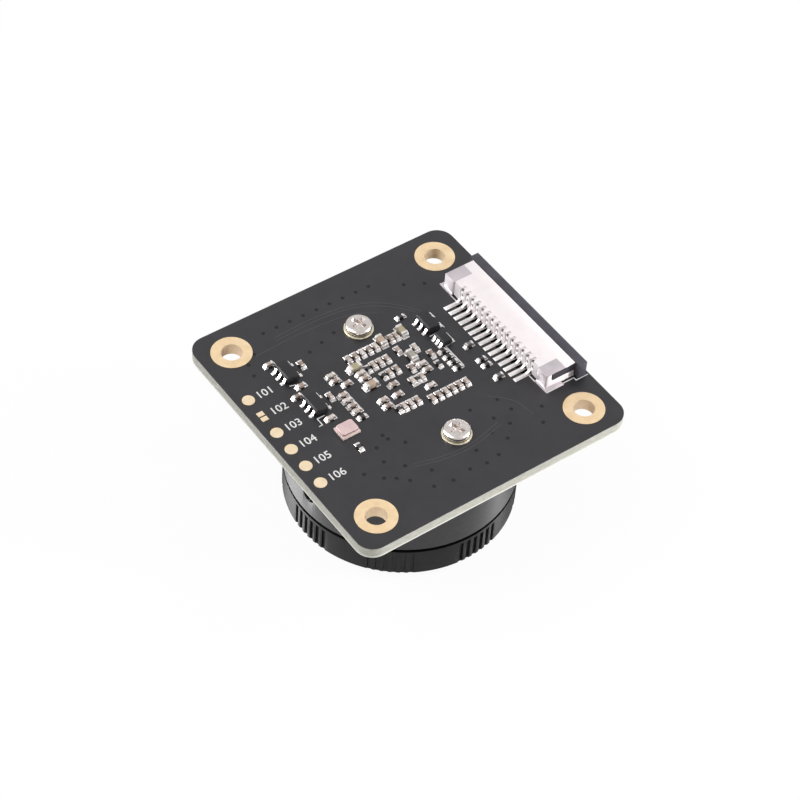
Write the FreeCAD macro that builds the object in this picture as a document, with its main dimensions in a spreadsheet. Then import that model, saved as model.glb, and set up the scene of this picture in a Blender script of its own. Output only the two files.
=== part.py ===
import FreeCAD, Part
import os
import re
import Sketcher

# Camera module: a square circuit board that lies on a round lens mount.
# Millimetres. The lens axis is Z, the mount faces down and stands on Z = 0,
# and the ribbon cable connector is along the +X edge of the board.

os.makedirs("parts", exist_ok=True)
doc = FreeCAD.newDocument("CameraModule")
XYZ = FreeCAD.Vector

# Driving sizes. Each has its own cell in the sheet.
SIZES = {
    "BoardSide": (38.0, "side of the square board"),
    "BoardThick": (1.6, "board thickness"),
    "BoardCorner": (2.2, "radius of the board corners"),
    "HoleEdge": (4.0, "from the board edges to the middle of a mounting hole"),
    "HoleDia": (2.7, "mounting hole"),
    "HolePadDia": (5.05, "gold ring round a mounting hole"),
    "PadThick": (0.05, "height of a bare metal pad"),
    "TestPadDia": (1.55, "round test pad"),
    "TestPadEdge": (1.5, "from the board edge to the test pad centres"),
    "TestPadPitch": (3.0, "between test pads"),
    "JumperLength": (0.85, "solder jumper along X"),
    "JumperWidth": (0.66, "one half of the solder jumper, along Y"),
    "JumperGap": (0.2, "between the halves of the jumper"),
    "AdapterHeight": (5.0, "adapter ring, front face to seat"),
    "FrontBevel": (1.1, "bevel at the front of the adapter ring"),
    "GripTop": (4.55, "grip notches end at this height"),
    "NotchWidth": (0.55, "one grip notch, across"),
    "NotchDepth": (0.3, "one grip notch, inwards"),
    "NotchPitch": (4.0, "degrees between notches of a group"),
    "NotchCount": (6, "notches in a group"),
    "GroupCount": (8, "groups of notches round the ring"),
    "GroupTurn": (5.0, "degrees from X to the middle of the first group"),
    "LensBoreDia": (24.7, "threaded bore for the lens"),
    "SeatWall": (1.45, "wall between the bore and the reduced seat"),
    "SeatStep": (0.7, "from the reduced seat out to the barrel surface"),
    "SpigotHeight": (4.0, "threaded spigot of the adapter ring"),
    "SpigotWall": (0.97, "wall of the spigot"),
    "BoreStop": (1.0, "lip below the seat where the front bore ends"),
    "ThreadGap": (0.08, "running clearance of the thread, on the radius"),
    "SeatHeight": (0.5, "height of the reduced seat"),
    "LensBoreDepth": (5.2, "threaded bore in the housing"),
    "FilterRest": (0.6, "edge of the filter that lies beside the light opening"),
    "ShelfThick": (2.4, "shelf between the bore and the filter that lies on it"),
    "FilterSide": (11.6, "square filter glass"),
    "FilterThick": (0.7, "filter glass thickness"),
    "PocketGap": (0.1, "clearance of filter and gasket in their pockets"),
    "GasketInner": (11.0, "foam gasket, inside"),
    "GasketWall": (1.1, "foam gasket, one side across"),
    "GasketThick": (0.6, "foam gasket thickness"),
    "FlangeDistance": (12.526, "from the housing seat to the image plane"),
    "SensorLength": (9.6, "sensor package along X"),
    "SensorWidth": (8.6, "sensor package along Y"),
    "SensorFloor": (0.2, "floor of the package, against the board"),
    "DieLength": (7.2, "silicon die along X"),
    "DieWidth": (5.8, "silicon die along Y"),
    "DieThick": (0.224, "silicon die thickness"),
    "DieAir": (0.176, "from the die to the cover glass"),
    "DieRoom": (0.2, "free space round the die"),
    "CoverLip": (0.3, "ledge that the cover glass rests on"),
    "CoverThick": (0.4, "cover glass thickness"),
    "CoverGap": (0.05, "clearance round the cover glass"),
    "LockTurn": (184.0, "degrees from X to the lens lock screw"),
    "LockLevel": (3.75, "lock screw above the housing seat"),
    "LockDia": (2.0, "lock screw thread"),
    "LockLength": (1.3, "lock screw length"),
    "LockSink": (0.55, "lock screw head below the barrel surface"),
    "LockSocket": (0.9, "hexagon socket, across flats"),
    "LockSocketDepth": (0.7, "depth of the socket"),
    "ScrewOffset": (10.0, "housing screws from the lens axis, along Y"),
    "ScrewDia": (2.0, "housing screw thread"),
    "ScrewGap": (0.02, "clearance of a fastener thread, on the radius"),
    "ScrewReach": (4.6, "screw thread inside the housing"),
    "ScrewDrill": (0.5, "drilled hole beyond the screw tip"),
    "ScrewHoleDia": (2.3, "board hole for a housing screw"),
    "HeadDia": (3.3, "screw head"),
    "HeadHeight": (1.05, "screw head above the board"),
    "CrossLength": (1.7, "cross recess, tip to tip"),
    "CrossWidth": (0.42, "cross recess, one arm across"),
    "CrossDepth": (0.6, "cross recess depth"),
    "ContactCount": (15, "contacts of the ribbon cable connector"),
    "ContactPitch": (1.0, "between contacts"),
    "ContactWidth": (0.32, "one contact, across"),
    "ContactThick": (0.2, "contact sheet thickness"),
    "ContactGap": (0.05, "clearance of a contact in its slot"),
    "TailLength": (2.3, "contact tail behind the connector"),
    "ConnectorEdge": (1.82, "from the board edge to the connector mouth"),
    "ConnectorDepth": (4.08, "connector housing, mouth to back"),
    "ConnectorHeight": (2.3, "connector housing height"),
    "CableMargin": (1.1, "from the last contact to the side of the mouth"),
    "EndBlock": (2.05, "plastic at each end of the mouth"),
    "MouthFloor": (0.6, "plastic below the mouth"),
    "MouthHeight": (1.1, "mouth height"),
    "BackWall": (0.65, "plastic behind the mouth"),
    "BeamFloor": (0.3, "plastic below the contact beams"),
    "BeamTip": (0.45, "from the mouth to the contact tips"),
    "BumpRise": (0.3, "contact bump above the beam"),
    "BumpLength": (0.75, "contact bump along the beam"),
    "BarbHeight": (2.2, "top of the contact barb"),
    "BarbThick": (0.45, "contact barb along X"),
    "ChannelFloor": (0.95, "plastic below a latch arm"),
    "ChannelHeight": (1.15, "height of a latch arm channel"),
    "ChannelWidth": (1.0, "width of a latch arm channel"),
    "LatchDepth": (1.2, "latch bar, outwards"),
    "LatchOverhang": (0.75, "latch bar past the end of the housing"),
    "LatchLift": (0.15, "latch bar above the board"),
    "LatchGap": (0.08, "clearance of the latch in the housing"),
    "LatchTongue": (0.32, "thickness of the latch tongue"),
    "ArmShort": (0.2, "latch arm stops this far from its channel end"),
    "AnchorThick": (0.2, "anchor sheet thickness"),
    "AnchorWidth": (1.75, "anchor top, along Y"),
    "AnchorReach": (2.6, "anchor top, along X"),
    "AnchorFoot": (0.45, "anchor foot beside the connector"),
    "AnchorFootLength": (2.1, "anchor foot along X"),
    "ChipLength": (1.0, "small chip part, length"),
    "ChipWidth": (0.5, "small chip part, width"),
    "ChipEnd": (0.22, "small chip part, metal end"),
    "CapHeight": (0.5, "small capacitor height"),
    "ResistorHeight": (0.35, "resistor height"),
    "TallLength": (1.6, "large capacitor, length"),
    "TallWidth": (0.8, "large capacitor, width"),
    "TallHeight": (0.8, "large capacitor height"),
    "TallEnd": (0.35, "large capacitor, metal end"),
    "DiodeHeight": (0.6, "diode height"),
    "CaseLength": (2.9, "chip case along its lead rows"),
    "CaseWidth": (1.6, "chip case between its lead rows"),
    "CaseSpan": (2.8, "chip across the lead tips"),
    "CaseHeight": (1.1, "chip case top above the board"),
    "CasePitch": (0.95, "between chip leads"),
    "SmallCaseLength": (2.0, "small chip case along its lead rows"),
    "SmallCaseWidth": (1.25, "small chip case between its lead rows"),
    "SmallCaseSpan": (2.1, "small chip across the lead tips"),
    "SmallCaseHeight": (0.95, "small chip case top above the board"),
    "SmallCasePitch": (0.65, "between small chip leads"),
    "CaseLift": (0.1, "chip case above the board"),
    "CaseDraft": (7.0, "mould draft of a chip case in degrees"),
    "LeadWidth": (0.38, "chip lead, across"),
    "LeadThick": (0.15, "chip lead sheet thickness"),
    "FootShare": (0.5, "share of a chip lead that lies flat"),
    "CrystalLength": (2.5, "crystal along X"),
    "CrystalWidth": (2.0, "crystal along Y"),
    "CrystalBase": (0.35, "ceramic base of the crystal"),
    "CrystalLid": (0.4, "metal lid of the crystal"),
    "LidInset": (0.12, "lid inside the edge of its base"),
}

# Levels and places that several pieces share, as formulas of the sizes.
SEAT = "AdapterHeight"
UNDER = f"({SEAT} + FlangeDistance + DieThick + SensorFloor)"
SENSOR = "(SensorFloor + DieThick + DieAir + CoverThick)"
TOP = f"({UNDER} + BoardThick)"
BORE = "(LensBoreDia / 2)"
SPIGOT = f"({BORE} - ThreadGap)"
NECK = f"({BORE} + SeatWall)"
BARREL = f"({NECK} + SeatStep)"
LIGHT = "(FilterSide / 2 - FilterRest)"
GASKET = "(GasketInner + 2 * GasketWall)"
BORE_END = f"({SEAT} + LensBoreDepth)"
SHELF = f"({BORE_END} + ShelfThick)"
MOUTH = "(BoardSide / 2 - ConnectorEdge)"
BACK = f"({MOUTH} - ConnectorDepth)"
MOUTH_TOP = "(MouthFloor + MouthHeight)"
CHANNEL_TOP = "(ChannelFloor + ChannelHeight)"
SLOT_WIDTH = "(ContactWidth + 2 * ContactGap)"
ROW = "((ContactCount - 1) * ContactPitch)"
CABLE = f"({ROW} / 2 + CableMargin)"
END = f"({CABLE} + EndBlock)"
TEST_X = "(TestPadEdge - BoardSide / 2)"

# Small parts on the board, by the place of their middle. An upright part
# has its length along Y, a level one along X. A row gives its first place,
# its step and how many parts it has. The parts just behind the connector
# have their X measured from its back.
CAP_ROWS_UPRIGHT = [
    ((-4.0, 6.35), (0.98, 0.0), 5),
    ((2.2, 6.45), (0.8, 0.0), 2),
    ((-2.0, 4.0), (0.97, 0.0), 3),
    ((-1.1, 2.0), (1.05, 0.0), 2),
    ((-2.75, -3.35), (0.95, 0.0), 3),
    ((0.8, -4.1), (0.99, 0.0), 6),
    ((0.45, -0.6), (1.3, 0.0), 2),
    ((-9.15, 8.75), (0.0, -6.05), 2),
    ((1.6, 1.2), (0.25, 3.2), 2),
    ((3.85, 3.65), (1.05, -1.85), 2),
]
CAP_ROWS_LEVEL = [
    ((-7.8, 2.05), (0.0, -0.97), 4),
    ((-7.3, 5.35), (0.0, -0.95), 2),
    ((-4.05, 3.75), (0.0, -0.85), 2),
    ((-4.25, -1.15), (-0.05, -1.05), 2),
    ((3.0, 1.1), (0.0, -1.05), 2),
    ((-12.4, 10.8), (-0.05, -6.05), 2),
    ((-11.1, 5.95), (0.05, -6.05), 2),
    ((-2.25, -1.35), (0.45, 1.6), 2),
    ((-6.35, 3.3), (8.2, -5.6), 2),
]
RESISTOR_ROWS_UPRIGHT = [
    ((-2.85, 3.9), (0.95, -1.9), 2),
    ((-3.45, -3.3), (0.0, 0.0), 1),
    ((4.7, 0.0), (0.0, 0.0), 1),
    ((1.1, -0.6), (0.0, 0.0), 1),
    ((-10.7, -5.55), (0.0, 0.0), 1),
]
RESISTOR_ROWS_LEVEL = [
    ((6.35, 1.4), (0.0, -1.02), 4),
    ((-7.8, -1.95), (0.0, 0.0), 1),
    ((5.3, 8.75), (0.0, 0.0), 1),
]
RESISTOR_ROWS_BY_CONNECTOR = [((-3.65, -2.15), (0.0, -1.05), 2)]
TALL_ROWS_UPRIGHT = [((0.95, 6.65), (3.0, 0.0), 2), ((2.65, 2.7), (0.0, 0.0), 1)]
TALL_ROWS_LEVEL = [((-4.2, 4.75), (0.1, -3.25), 2)]
DIODE_ROWS_BY_CONNECTOR = [((-3.6, 0.45), (0.0, -6.0), 2)]
CASE_PLACES = [(-11.45, 8.45), (-11.45, 2.4), (7.35, 5.95)]
SMALL_CASE_PLACE = (7.4, 2.85)
CRYSTAL_PLACE = (-10.5, -2.7)

# Places in the row of test pads, in pitches from its middle.
PAD_STEPS = (2.5, 0.5, -0.5, -1.5, -2.5)
JUMPER_STEP = 1.5

# Leads of a chip on its -X side and on its +X side.
LOW_LEAD_COUNT = 3
HIGH_LEAD_COUNT = 2


# Helpers

sheet = doc.addObject("Spreadsheet::Sheet", "Sizes")
for row, (alias, (number, note)) in enumerate(SIZES.items(), start=1):
    sheet.set(f"A{row}", note)
    sheet.set(f"B{row}", str(number))
    sheet.setAlias(f"B{row}", alias)
doc.recompute()


def formula(text):
    """The text with each size name pointing at its cell of the sheet."""
    return re.sub(r"\b([A-Z][A-Za-z]+)\b", r"Sizes.\1", str(text))


def value(text):
    """The number that a formula gives with the sizes as they are."""
    return float(sheet.evalExpression(formula(text)))


def bind(thing, prop, text):
    """Tie a property to the sheet through a formula."""
    thing.setExpression(prop, formula(text))


def new_body(label):
    """An empty body whose label names its file."""
    body = doc.addObject("PartDesign::Body", label)
    body.AllowCompound = True
    return body


def origin(body, role):
    """The plane or axis of a body's own origin that has this role."""
    return next(item for item in body.Origin.OriginFeatures if item.Role == role)


def new_sketch(body, role="XY_Plane", offset="0"):
    """A sketch on an origin plane of the body, moved along its normal."""
    sketch = body.newObject("Sketcher::SketchObject", body.Name + "_sketch")
    sketch.AttachmentSupport = (origin(body, role), [""])
    sketch.MapMode = "FlatFace"
    bind(sketch, "AttachmentOffset.Base.z", offset)
    return sketch


def face_outwards(sketch, angle, reach="0"):
    """Turn a sketch on the YZ plane round Z, that far from the axis."""
    turned = FreeCAD.Rotation(XYZ(0, 1, 0), value(angle))
    sketch.AttachmentOffset = FreeCAD.Placement(XYZ(), turned)
    bind(sketch, "AttachmentOffset.Rotation.Angle", angle)
    bind(sketch, "AttachmentOffset.Base.x", f"{reach} * sin({angle})")
    bind(sketch, "AttachmentOffset.Base.z", f"{reach} * cos({angle})")


def fix(sketch, kind, places, text):
    """One measured constraint, tied to a formula."""
    number = sketch.addConstraint(Sketcher.Constraint(kind, *places, value(text)))
    sketch.setExpression(f"Constraints[{number}]", formula(text))


def pin(sketch, element, point, place):
    """Hold a point of an element at a place given by two formulas."""
    fix(sketch, "DistanceX", (-1, 1, element, point), place[0])
    fix(sketch, "DistanceY", (-1, 1, element, point), place[1])


def outline(sketch, places):
    """A closed outline of straight lines through the places."""
    first = sketch.GeometryCount
    count = len(places)
    points = [XYZ(value(across), value(along), 0) for across, along in places]
    for index in range(count):
        sketch.addGeometry(Part.LineSegment(points[index], points[(index + 1) % count]))
    for index in range(count):
        following = first + (index + 1) % count
        sketch.addConstraint(Sketcher.Constraint("Coincident", first + index, 2, following, 1))
        pin(sketch, first + index, 1, places[index])


def rectangle(sketch, low, high):
    """An upright rectangle between two opposite corners."""
    outline(sketch, [low, (high[0], low[1]), high, (low[0], high[1])])


def centred(sketch, length, width):
    """A rectangle round the sketch origin."""
    rectangle(sketch, (f"-({length}) / 2", f"-({width}) / 2"), (f"({length}) / 2", f"({width}) / 2"))


def ring(sketch, place, diameter):
    """A circle round a place."""
    middle = XYZ(value(place[0]), value(place[1]), 0)
    circle = sketch.addGeometry(Part.Circle(middle, XYZ(0, 0, 1), value(diameter) / 2))
    fix(sketch, "Radius", (circle,), f"({diameter}) / 2")
    pin(sketch, circle, 3, place)


def add(body, sketch, length, draft=None, turned=False, both_ways=False):
    """A pad of the sketch."""
    pad = body.newObject("PartDesign::Pad", body.Name + "_pad")
    pad.Profile = sketch
    bind(pad, "Length", length)
    pad.Reversed = turned
    if both_ways:
        pad.SideType = "Symmetric"
    if draft:
        bind(pad, "TaperAngle", draft)
    doc.recompute()
    return pad


def cut(body, sketch, length, turned=False, both_ways=False):
    """A pocket of the sketch, against its normal unless turned."""
    pocket = body.newObject("PartDesign::Pocket", body.Name + "_pocket")
    pocket.Profile = sketch
    bind(pocket, "Length", length)
    pocket.Reversed = turned
    if both_ways:
        pocket.SideType = "Symmetric"
    doc.recompute()
    return pocket


def turn(body, sketch):
    """The sketch turned once round its upright axis."""
    revolution = body.newObject("PartDesign::Revolution", body.Name + "_turn")
    revolution.Profile = sketch
    revolution.ReferenceAxis = (sketch, ["V_Axis"])
    revolution.Angle = 360
    doc.recompute()
    return revolution


def repeat_along_y(body, feature, length, count):
    """Copies of a feature, evenly spaced towards +Y."""
    pattern = body.newObject("PartDesign::LinearPattern", body.Name + "_row")
    pattern.Originals = [feature]
    pattern.Direction = (origin(body, "Y_Axis"), [""])
    bind(pattern, "Length", length)
    bind(pattern, "Occurrences", count)
    body.Tip = pattern
    doc.recompute()
    return pattern


def repeat_round(body, feature, count):
    """Copies of a feature, evenly spaced round Z."""
    pattern = body.newObject("PartDesign::PolarPattern", body.Name + "_round")
    pattern.Originals = [feature]
    pattern.Axis = (origin(body, "Z_Axis"), [""])
    pattern.Angle = 360
    bind(pattern, "Occurrences", count)
    body.Tip = pattern
    doc.recompute()
    return pattern


def mirror_y(body, features):
    """The features again on the other side of the XZ plane."""
    mirrored = body.newObject("PartDesign::Mirrored", body.Name + "_mirror")
    mirrored.Originals = features
    mirrored.MirrorPlane = (origin(body, "XZ_Plane"), [""])
    body.Tip = mirrored
    doc.recompute()
    return mirrored


def box(name, low, size):
    """A block with its low corner and its size given by formulas."""
    block = doc.addObject("Part::Box", name)
    for side, text in zip(("Length", "Width", "Height"), size):
        bind(block, side, text)
    for axis, text in zip("xyz", low):
        bind(block, f"Placement.Base.{axis}", text)
    return block


def group(label, pieces):
    """Separate solids under one label."""
    compound = doc.addObject("Part::Compound", label)
    compound.Links = pieces
    return compound


def places_of(rows):
    """Every place of the rows."""
    found = []
    for (across, along), (step_across, step_along), count in rows:
        for index in range(int(count)):
            found.append((across + index * step_across, along + index * step_along))
    return found


# Adapter ring: turned, with a threaded spigot and groups of grip notches.

def adapter_ring():
    """Ring whose notches have radial walls and run a quarter of their depth past it."""
    body = new_body("adapter_ring")
    sketch = new_sketch(body, "XZ_Plane")
    spigot_top = f"({SEAT} + SpigotHeight)"
    outline(sketch, [
        (BORE, "0"),
        (f"{BARREL} - FrontBevel", "0"),
        (BARREL, "FrontBevel"),
        (BARREL, SEAT),
        (SPIGOT, SEAT),
        (SPIGOT, spigot_top),
        (f"{SPIGOT} - SpigotWall", spigot_top),
        (f"{SPIGOT} - SpigotWall", f"{SEAT} - BoreStop"),
        (BORE, f"{SEAT} - BoreStop"),
    ])
    turn(body, sketch)
    notches = new_sketch(body)
    root = f"({BARREL} - NotchDepth)"
    outer = f"({BARREL} + NotchDepth / 4)"
    half = f"(NotchWidth / {BARREL} * 90 / pi)"
    for index in range(int(value("NotchCount"))):
        angle = f"(GroupTurn + ({index} - (NotchCount - 1) / 2) * NotchPitch)"
        corners = []
        for radius, sign in ((root, "-"), (outer, "-"), (outer, "+"), (root, "+")):
            turned = f"({angle} {sign} {half})"
            corners.append((f"{radius} * cos({turned})", f"{radius} * sin({turned})"))
        outline(notches, corners)
    notch = cut(body, notches, "GripTop", turned=True)
    repeat_round(body, notch, "GroupCount")
    return body


# Lens mount housing: seat and threaded bore in front, filter pocket behind.

def lens_housing():
    body = new_body("lens_housing")
    sketch = new_sketch(body, "XZ_Plane")
    outline(sketch, [
        (BORE, SEAT),
        (NECK, SEAT),
        (NECK, f"{SEAT} + SeatHeight"),
        (BARREL, f"{SEAT} + SeatHeight"),
        (BARREL, UNDER),
        (LIGHT, UNDER),
        (LIGHT, BORE_END),
        (BORE, BORE_END),
    ])
    turn(body, sketch)
    pocket = new_sketch(body, offset=UNDER)
    side = "(FilterSide + 2 * PocketGap)"
    centred(pocket, side, side)
    cut(body, pocket, f"{UNDER} - {SHELF}")
    recess = new_sketch(body, offset=UNDER)
    side = f"({GASKET} + 2 * PocketGap)"
    centred(recess, side, side)
    cut(body, recess, "GasketThick")
    drill = new_sketch(body, offset=UNDER)
    for sign in ("", "-"):
        ring(drill, ("0", f"{sign}ScrewOffset"), "ScrewDia + 2 * ScrewGap")
    cut(body, drill, "ScrewReach + ScrewDrill")
    side_hole = new_sketch(body, "YZ_Plane")
    face_outwards(side_hole, "LockTurn")
    ring(side_hole, ("0", f"{SEAT} + LockLevel"), "LockDia + 2 * ScrewGap")
    cut(body, side_hole, BARREL, turned=True)
    return body


def lock_screw():
    """Headless screw in the side of the housing, clear of the spigot."""
    body = new_body("lens_lock_screw")
    outer = f"({BARREL} - LockSink)"
    shank = new_sketch(body, "YZ_Plane")
    face_outwards(shank, "LockTurn", outer)
    ring(shank, ("0", f"{SEAT} + LockLevel"), "LockDia")
    add(body, shank, "LockLength", turned=True)
    socket = new_sketch(body, "YZ_Plane")
    face_outwards(socket, "LockTurn", outer)
    sides = 6
    corner = f"(LockSocket / 2 / cos({180 / sides}))"
    corners = []
    for index in range(sides):
        angle = 360 / sides * index
        corners.append((f"{corner} * cos({angle})", f"{SEAT} + LockLevel + {corner} * sin({angle})"))
    outline(socket, corners)
    cut(body, socket, "LockSocketDepth")
    return body


# Filter, gasket and image sensor, stacked between the shelf and the board.

def filter_glass():
    half = "FilterSide / 2"
    return box("filter_glass", (f"-{half}", f"-{half}", SHELF), ("FilterSide", "FilterSide", "FilterThick"))


def dust_gasket():
    body = new_body("dust_gasket")
    sketch = new_sketch(body, offset=f"{UNDER} - GasketThick")
    centred(sketch, GASKET, GASKET)
    centred(sketch, "GasketInner", "GasketInner")
    add(body, sketch, "GasketThick")
    return body


def sensor_package():
    """Ceramic tray that opens towards the lens, with a ledge for its glass."""
    body = new_body("sensor_package")
    mouth = f"({UNDER} - {SENSOR})"
    sketch = new_sketch(body, offset=mouth)
    centred(sketch, "SensorLength", "SensorWidth")
    add(body, sketch, SENSOR)
    tray = new_sketch(body, offset=mouth)
    centred(tray, "DieLength + 2 * DieRoom", "DieWidth + 2 * DieRoom")
    cut(body, tray, f"{SENSOR} - SensorFloor", turned=True)
    ledge = new_sketch(body, offset=mouth)
    rim = "2 * (DieRoom + CoverLip + CoverGap)"
    centred(ledge, f"DieLength + {rim}", f"DieWidth + {rim}")
    cut(body, ledge, "CoverThick", turned=True)
    return body


def sensor_die():
    """Silicon whose face is the image plane."""
    low = ("-DieLength / 2", "-DieWidth / 2", f"{SEAT} + FlangeDistance")
    return box("sensor_die", low, ("DieLength", "DieWidth", "DieThick"))


def sensor_glass():
    rim = "2 * (DieRoom + CoverLip)"
    low = (f"-(DieLength + {rim}) / 2", f"-(DieWidth + {rim}) / 2", f"{UNDER} - {SENSOR}")
    return box("sensor_glass", low, (f"DieLength + {rim}", f"DieWidth + {rim}", "CoverThick"))


# Circuit board with its drilled holes and bare metal rings.

def corner_places():
    """The four mounting holes."""
    half = "(BoardSide / 2 - HoleEdge)"
    return [(f"{x}{half}", f"{y}{half}") for x in ("", "-") for y in ("", "-")]


def screw_places():
    """The two housing screws."""
    return [("0", "ScrewOffset"), ("0", "-ScrewOffset")]


def circuit_board():
    body = new_body("circuit_board")
    sketch = new_sketch(body, offset=UNDER)
    centred(sketch, "BoardSide", "BoardSide")
    plate = add(body, sketch, "BoardThick")
    upright = []
    for number, edge in enumerate(plate.Shape.Edges, start=1):
        ends = [vertex.Point for vertex in edge.Vertexes]
        if abs(ends[0].z - ends[1].z) > value("BoardThick") / 2:
            upright.append(f"Edge{number}")
    corners = body.newObject("PartDesign::Fillet", "board_corners")
    corners.Base = (plate, upright)
    bind(corners, "Radius", "BoardCorner")
    doc.recompute()
    holes = new_sketch(body, offset=TOP)
    for place in corner_places():
        ring(holes, place, "HoleDia")
    for place in screw_places():
        ring(holes, place, "ScrewHoleDia")
    cut(body, holes, "BoardThick")
    return body


def mounting_pads():
    """Rings round the four mounting holes, on top."""
    body = new_body("mounting_pads")
    sketch = new_sketch(body, offset=TOP)
    for place in corner_places():
        ring(sketch, place, "HolePadDia")
        ring(sketch, place, "HoleDia")
    add(body, sketch, "PadThick")
    return body


def test_pads():
    """A row of round pads, with a two part solder jumper in one place."""
    body = new_body("test_pads")
    sketch = new_sketch(body, offset=TOP)
    for step in PAD_STEPS:
        ring(sketch, (TEST_X, f"{step} * TestPadPitch"), "TestPadDia")
    for sign in (1, -1):
        middle = f"{JUMPER_STEP} * TestPadPitch + {sign} * (JumperWidth + JumperGap) / 2"
        low = (f"{TEST_X} - JumperLength / 2", f"{middle} - JumperWidth / 2")
        high = (f"{TEST_X} + JumperLength / 2", f"{middle} + JumperWidth / 2")
        rectangle(sketch, low, high)
    add(body, sketch, "PadThick")
    return body


def board_screws():
    """Two screws with a cross recess, their heads on the board."""
    body = new_body("board_screws")
    shanks = new_sketch(body, offset=f"{UNDER} - ScrewReach")
    heads = new_sketch(body, offset=TOP)
    for place in screw_places():
        ring(shanks, place, "ScrewDia")
        ring(heads, place, "HeadDia")
    add(body, shanks, "BoardThick + ScrewReach")
    add(body, heads, "HeadHeight")
    recess = new_sketch(body, offset=f"{TOP} + HeadHeight")
    arm = "CrossLength / 2"
    half = "CrossWidth / 2"
    turns = [(arm, half), (half, half), (half, arm)]
    for across, along in screw_places():
        cross = []
        for x_sign, y_sign, order in (("", "", 1), ("-", "", -1), ("-", "-", 1), ("", "-", -1)):
            for x, y in turns[::order]:
                cross.append((f"{across} + {x_sign}{x}", f"{along} + {y_sign}{y}"))
        outline(recess, cross)
    cut(body, recess, "CrossDepth")
    return body


# Ribbon cable connector: moulded housing, sheet contacts, anchors and latch.

def connector_housing():
    body = new_body("connector_housing")
    sketch = new_sketch(body, offset=TOP)
    rectangle(sketch, (BACK, f"-{END}"), (MOUTH, END))
    add(body, sketch, "ConnectorHeight")
    mouth = new_sketch(body, "YZ_Plane", MOUTH)
    rectangle(mouth, (f"-{CABLE}", f"{TOP} + MouthFloor"), (CABLE, f"{TOP} + {MOUTH_TOP}"))
    cut(body, mouth, "ConnectorDepth - BackWall")
    channel = new_sketch(body, "YZ_Plane", MOUTH)
    low = (f"{END} - ChannelWidth", f"{TOP} + ChannelFloor")
    rectangle(channel, low, (END, f"{TOP} + {CHANNEL_TOP}"))
    channel_cut = cut(body, channel, "ConnectorDepth - BackWall")
    recess = new_sketch(body, offset=f"{TOP} + ConnectorHeight")
    rectangle(recess, (BACK, f"{END} - AnchorWidth"), (f"{BACK} + AnchorReach", END))
    recess_cut = cut(body, recess, "AnchorThick")
    mirror_y(body, [channel_cut, recess_cut])
    groove = new_sketch(body, offset=TOP)
    first = f"-{ROW} / 2"
    low = (BACK, f"{first} - {SLOT_WIDTH} / 2")
    rectangle(groove, low, (f"{BACK} + BackWall", f"{first} + {SLOT_WIDTH} / 2"))
    groove_cut = cut(body, groove, "ConnectorHeight", turned=True)
    beam = new_sketch(body, offset=f"{TOP} + BeamFloor")
    low = (f"{BACK} + BackWall", f"{first} - {SLOT_WIDTH} / 2")
    rectangle(beam, low, (f"{MOUTH} - BeamTip + ContactGap", f"{first} + {SLOT_WIDTH} / 2"))
    beam_cut = cut(body, beam, "MouthFloor - BeamFloor", turned=True)
    pattern = repeat_along_y(body, groove_cut, ROW, "ContactCount")
    pattern.Originals = [groove_cut, beam_cut]
    doc.recompute()
    return body


def connector_contacts():
    """Bent sheet contacts: a tail on the board, a barb and a bumped beam."""
    body = new_body("connector_contacts")
    first = f"-{ROW} / 2"
    sketch = new_sketch(body, "XZ_Plane", f"-({first})")
    rise = f"{TOP} + BeamFloor"
    beam_top = f"({rise} + ContactThick)"
    tip = f"({MOUTH} - BeamTip)"
    bend = f"({BACK} - BeamFloor - ContactThick)"
    barb = f"({BACK} + BackWall - ContactGap)"
    outline(sketch, [
        (f"{BACK} - TailLength", TOP),
        (bend, TOP),
        (f"{BACK} - ContactThick / 2", rise),
        (tip, rise),
        (tip, beam_top),
        (f"{tip} - BumpRise", f"{beam_top} + BumpRise"),
        (f"{tip} - BumpLength", beam_top),
        (barb, beam_top),
        (barb, f"{TOP} + BarbHeight"),
        (f"{barb} - BarbThick", f"{TOP} + BarbHeight"),
        (f"{barb} - BarbThick", beam_top),
        (f"{BACK} - ContactThick", beam_top),
        (f"{bend} - ContactThick / 2", f"{TOP} + ContactThick"),
        (f"{BACK} - TailLength", f"{TOP} + ContactThick"),
    ])
    contact = add(body, sketch, "ContactWidth", both_ways=True)
    repeat_along_y(body, contact, ROW, "ContactCount")
    return body


def connector_anchors():
    """A bent sheet at each end, with its top in the housing and a foot beside it."""
    body = new_body("connector_anchors")
    inner = f"({END} - AnchorWidth)"
    bend = new_sketch(body, "XZ_Plane", f"-{inner}")
    top = f"({TOP} + ConnectorHeight)"
    outline(bend, [
        (f"{BACK} - AnchorThick", TOP),
        (BACK, TOP),
        (BACK, f"{top} - AnchorThick"),
        (f"{BACK} + AnchorReach", f"{top} - AnchorThick"),
        (f"{BACK} + AnchorReach", top),
        (f"{BACK} - AnchorThick", top),
    ])
    sheet_pad = add(body, bend, "AnchorWidth", turned=True)
    foot = new_sketch(body, offset=TOP)
    outline(foot, [
        (f"{BACK} - AnchorFoot", inner),
        (f"{BACK} - AnchorThick / 2", inner),
        (f"{BACK} - AnchorThick / 2", END),
        (f"{BACK} - AnchorThick / 2 + AnchorFootLength", END),
        (f"{BACK} - AnchorThick / 2 + AnchorFootLength", f"{END} + AnchorFoot"),
        (f"{BACK} - AnchorFoot", f"{END} + AnchorFoot"),
    ])
    foot_pad = add(body, foot, "AnchorThick")
    mirror_y(body, [sheet_pad, foot_pad])
    return body


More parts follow.
